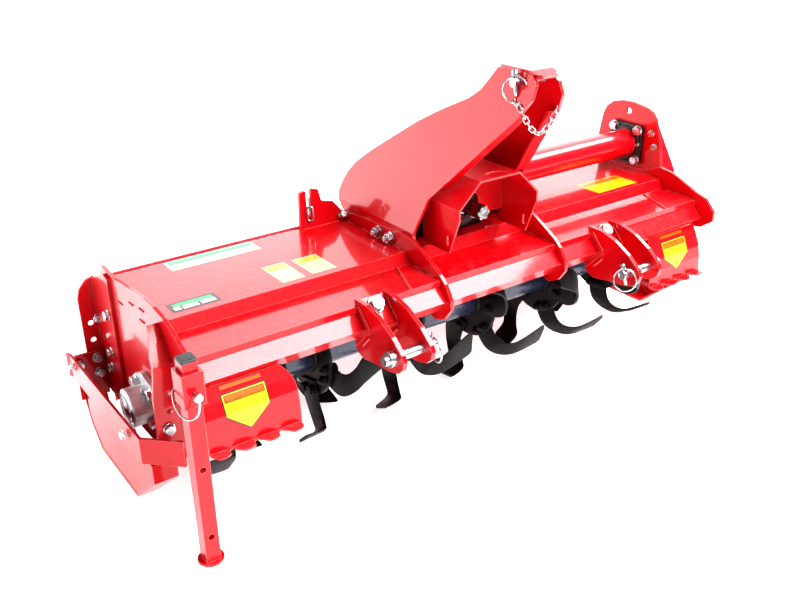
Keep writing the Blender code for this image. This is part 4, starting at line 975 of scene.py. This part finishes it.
bm = bmesh.new()
half = DISC_T * MM / 2.0
lathe(bm, Matrix.Rotation(math.pi / 2.0, 4, "Y"), [
    (0.0485, -half - 0.006), (0.052, -half - 0.005), (0.0555, -half), (0.1065, -half),
    (0.108, -half + 0.0012),
    (0.108, half - 0.0012), (0.1065, half), (0.0555, half), (0.052, half + 0.005), (0.0485, half + 0.006),
    (0.0485, -half - 0.006)], 60)
disc_shape = solid("disc_shape", bm, smooth=30)
left_knife = knife("left_knife", -1)
right_knife = knife("right_knife", 1)
points = []
angles = []
kinds = []
knife_bolts = []
knife_nuts = []
for index in range(6):
    low, high = span("rotor_knives_%d" % (index + 1))
    x = (low.x + high.x) / 2.0
    points.append(at(x, ROTOR_Y, ROTOR_Z))
    angles.append(0.0)
    kinds.append(2.0)
    for k in range(6):
        angle = math.radians(60.0 * k + 17.0 * index)
        side = 1 if k % 2 else -1
        points.append(at(x, ROTOR_Y, ROTOR_Z))
        angles.append(angle)
        kinds.append(float(k % 2))
        for chord in (-15.0, 15.0):
            y = ROTOR_Y + BOLT_R * math.cos(angle) - chord * math.sin(angle)
            z = ROTOR_Z + BOLT_R * math.sin(angle) + chord * math.cos(angle)
            knife_bolts.append(((x + side * (DISC_T / 2.0 + KNIFE_T), y, z), (side, 0, 0), 12.0))
            knife_nuts.append(((x - side * DISC_T / 2.0, y, z), (-side, 0, 0), 12.0))
start = bpy.data.meshes.new("knife_rows")
start.from_pydata(points, [], [])
for label, numbers in (("angle", angles), ("kind", kinds)):
    start.attributes.new(label, "FLOAT", "POINT").data.foreach_set("value", numbers)
knives = grown("rotor_knives", start, rotor_tree, **{
    "Left Knife": left_knife, "Right Knife": right_knife, "Disc": disc_shape, "Finish": knife_black.material})
fixed(knives, "rotor")
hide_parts(*["rotor_knives_%d" % (index + 1) for index in range(6)])
fasten("knife_bolts", bolt_head, knife_bolts, "rotor", knife_black.material)
fasten("knife_nuts", bolt_nut, knife_nuts, "rotor", knife_black.material)


# ---- Parking leg --------------------------------------------------------------
# Square tube with a round foot welded on; a pressed-in black plastic cap closes its top, and a
# wire-locked pin holds it in its sleeve.
PLASTIC = (0.035, 0.037, 0.040)
plastic = Finish("black_plastic", PLASTIC, 0.45)
pebble = plastic.noise(700.0, 2.0, 0.5)
wear = plastic.noise(40.0, 3.0, 0.6)
plastic.feed("Base Color", plastic.blend(plastic.between(wear, 0.45, 0.75), PLASTIC, (0.08, 0.082, 0.088)))
plastic.feed("Roughness", plastic.between(wear, 0.3, 0.7, 0.36, 0.55))
plastic.bump(pebble, 0.2, 0.0004, rounded=0.001)
leg_low, leg_high = span("parking_leg")
leg_x = (leg_low.x + leg_high.x) / 2.0
leg_y = (leg_low.y + leg_high.y) / 2.0
bm = bmesh.new()
cap_outline = [(0.0160 * (p[0] / FLANGE), 0.0160 * (p[1] / FLANGE)) for p in square]
plate(bm, cap_outline, aimed(at(leg_x, leg_y, leg_high.z - 0.2), (0, 0, 1)), 0.0052, 0.0012)
inner_outline = [(x * 0.72, y * 0.72) for x, y in cap_outline]
plate(bm, inner_outline, aimed(at(leg_x, leg_y, leg_high.z + 4.0), (0, 0, 1)), 0.0016, 0.0008)
fixed(solid("leg_cap", bm, plastic.material, 35), "parking_leg")

sleeve_low, sleeve_high = span("leg_sleeve")
front = sleeve_low.y
back = sleeve_high.y
PIN_Z = 381.0
bm = bmesh.new()
lathe(bm, aimed(at(leg_x, front + 2.0, PIN_Z), (0, -1, 0)), [
    (0.0, 0.0), (0.0055, 0.0), (0.0055, 0.012), (0.0085, 0.0125), (0.0088, 0.019), (0.0075, 0.021),
    (0.0, 0.0215)], 20)
lathe(bm, aimed(at(leg_x, back - 2.0, PIN_Z), (0, 1, 0)), [
    (0.0, 0.0), (0.0055, 0.0), (0.0055, 0.014), (0.0040, 0.017), (0.0, 0.017)], 20)
wire = [Vector((leg_x + x, y, PIN_Z + z)) for x, y, z in (
    (0.0, front - 16.0, -3.0), (-1.0, front - 19.0, -15.0), (-5.0, front - 19.0, -29.0),
    (-14.0, front - 15.0, -38.0), (-24.0, front - 6.0, -39.0), (-30.0, front + 10.0, -31.0),
    (-30.0, front + 26.0, -17.0), (-22.0, front + 44.0, -5.0), (-6.0, back + 10.0, 0.0),
    (5.0, back + 10.0, 0.0))]
fine_wire = [at(*between(wire, i, k / 5.0)) for i in range(len(wire) - 1) for k in range(5)]
tube(bm, fine_wire, 0.0019, 8)
zinc_piece("leg_lock_pin", bm)


# ---- Signs --------------------------------------------------------------------
# Thin printed vinyl, cut to shape and stuck on the paint. They are left blank: the colours
# and borders stay, the wording and the picture don't.
def vinyl(name, colour, shade):
    print_ = Finish(name, colour, 0.34, coat=0.35, coat_roughness=0.12)
    ink = print_.noise(35.0, 3.0, 0.6)
    fleck = print_.noise(500.0, 2.0, 0.5)
    print_.feed("Base Color", print_.blend(print_.between(ink, 0.4, 0.75), colour, shade))
    print_.feed("Roughness", print_.between(fleck + ink * 0.5, 0.4, 1.0, 0.26, 0.42))
    print_.bump(fleck, 0.05, 0.0002)
    return print_.material


YELLOW = vinyl("yellow_vinyl", (0.64, 0.43, 0.01), (0.58, 0.37, 0.01))
ORANGE = vinyl("orange_vinyl", (0.56, 0.13, 0.003), (0.50, 0.10, 0.003))
INK = vinyl("black_vinyl", (0.012, 0.012, 0.012), (0.03, 0.03, 0.03))
WHITE = vinyl("white_vinyl", (0.66, 0.68, 0.66), (0.58, 0.61, 0.58))
GREEN = vinyl("green_vinyl", (0.02, 0.30, 0.11), (0.015, 0.24, 0.09))
PALE = vinyl("pale_yellow_vinyl", (0.62, 0.54, 0.27), (0.56, 0.47, 0.21))


def sign(name, layers, step, thick, lay, bends=()):
    """Blank sign: stacked layers (outline, finish) in mm; lay() puts a flat point on its surface."""
    bm = bmesh.new()
    mesh = bpy.data.meshes.new(name)
    for index, (outline, finish) in enumerate(layers):
        mesh.materials.append(finish)
        before = len(bm.faces)
        plate(bm, outline, Matrix.Translation((0.0, 0.0, step * index)), thick)
        bm.faces.ensure_lookup_table()
        for face in bm.faces[before:]:
            face.material_index = index
    for level in bends:
        bmesh.ops.bisect_plane(
            bm, geom=bm.verts[:] + bm.edges[:] + bm.faces[:], plane_co=(0.0, level, 0.0), plane_no=(0.0, 1.0, 0.0))
    for vertex in bm.verts:
        vertex.co = lay(vertex.co)
    bmesh.ops.recalc_face_normals(bm, faces=bm.faces)
    bm.to_mesh(mesh)
    bm.free()
    return fixed(placed(name, mesh), "frame")


def rect(x0, y0, x1, y1):
    return [(x0, y0), (x1, y0), (x1, y1), (x0, y1)]


for name, layers in {
        "white": [(rect(-606, 95, -392, 147), WHITE), (rect(-600, 126, -398, 142), GREEN)],
        "plate": [
            (rect(-687, -100, -583, -55), INK), (rect(-677, -76, -592, -62), GREEN),
            (rect(-661, -93, -628, -78), WHITE), (rect(-623, -93, -592, -78), WHITE),
            (rect(-680, -93, -666, -78), WHITE)],
        "left": [(rect(-446, -103, -391, -6), PALE), (rect(-442, -36, -395, -11), YELLOW)],
        "middle": [(rect(-373, -100, -312, -8), PALE), (rect(-369, -36, -316, -13), YELLOW)],
        "right": [(rect(500, -106, 650, -25), YELLOW), (rect(506, -50, 644, -30), ORANGE)],
        }.items():
    sign("deck_sign_" + name, layers, 0.18, 0.22, lambda flat: at(flat.x, flat.y, DECK_Z + 0.1 + flat.z))

# A shield's bent front, from its foot up, as (y, z).
SHIELD_FACE = [(-285.0, 211.0), (-282.0, 250.0), (-276.0, 279.0), (-265.0, 304.0), (-250.0, 330.0)]
SHIELD_PROUD = 0.00165
bends = [0.0]
for (y0, z0), (y1, z1) in zip(SHIELD_FACE, SHIELD_FACE[1:]):
    bends.append(bends[-1] + math.hypot(y1 - y0, z1 - z0))


def on_shield(x, along, proud):
    """A point on a shield's bent front, so far up its face and so far proud of it."""
    for (y0, z0), (y1, z1) in zip(SHIELD_FACE, SHIELD_FACE[1:]):
        length = math.hypot(y1 - y0, z1 - z0)
        if along <= length or (y1, z1) == SHIELD_FACE[-1]:
            t = along / length
            out = Vector((0.0, -(z1 - z0), y1 - y0)) / length
            return at(x, y0 + (y1 - y0) * t, z0 + (z1 - z0) * t) + out * (SHIELD_PROUD + proud)
        along -= length


for name, middle in (("left", -631.0), ("right", 626.0)):
    for kind, layers in {
            "sign": [
                ([(-48, 109), (48, 109), (48, 63), (0, 26), (-48, 63)], INK),
                ([(-45.5, 106.7), (45.5, 106.7), (45.5, 64.4), (0, 29.1), (-45.5, 64.4)], YELLOW),
                (rect(-42, 90, 42, 103.8), INK), (rect(-40.5, 91.4, 40.5, 102.4), ORANGE)],
            "strip": [(rect(-44, 117, 42, 124.5), ORANGE)],
            }.items():
        sign("shield_%s_%s" % (kind, name), layers, 0.2, 0.2,
             lambda flat: on_shield(middle + flat.x, flat.y, flat.z * MM), bends[1:-1])

for helper in (bolt_head, bolt_nut, small_link, long_link, disc_shape, left_knife, right_knife):
    bpy.data.objects.remove(helper)
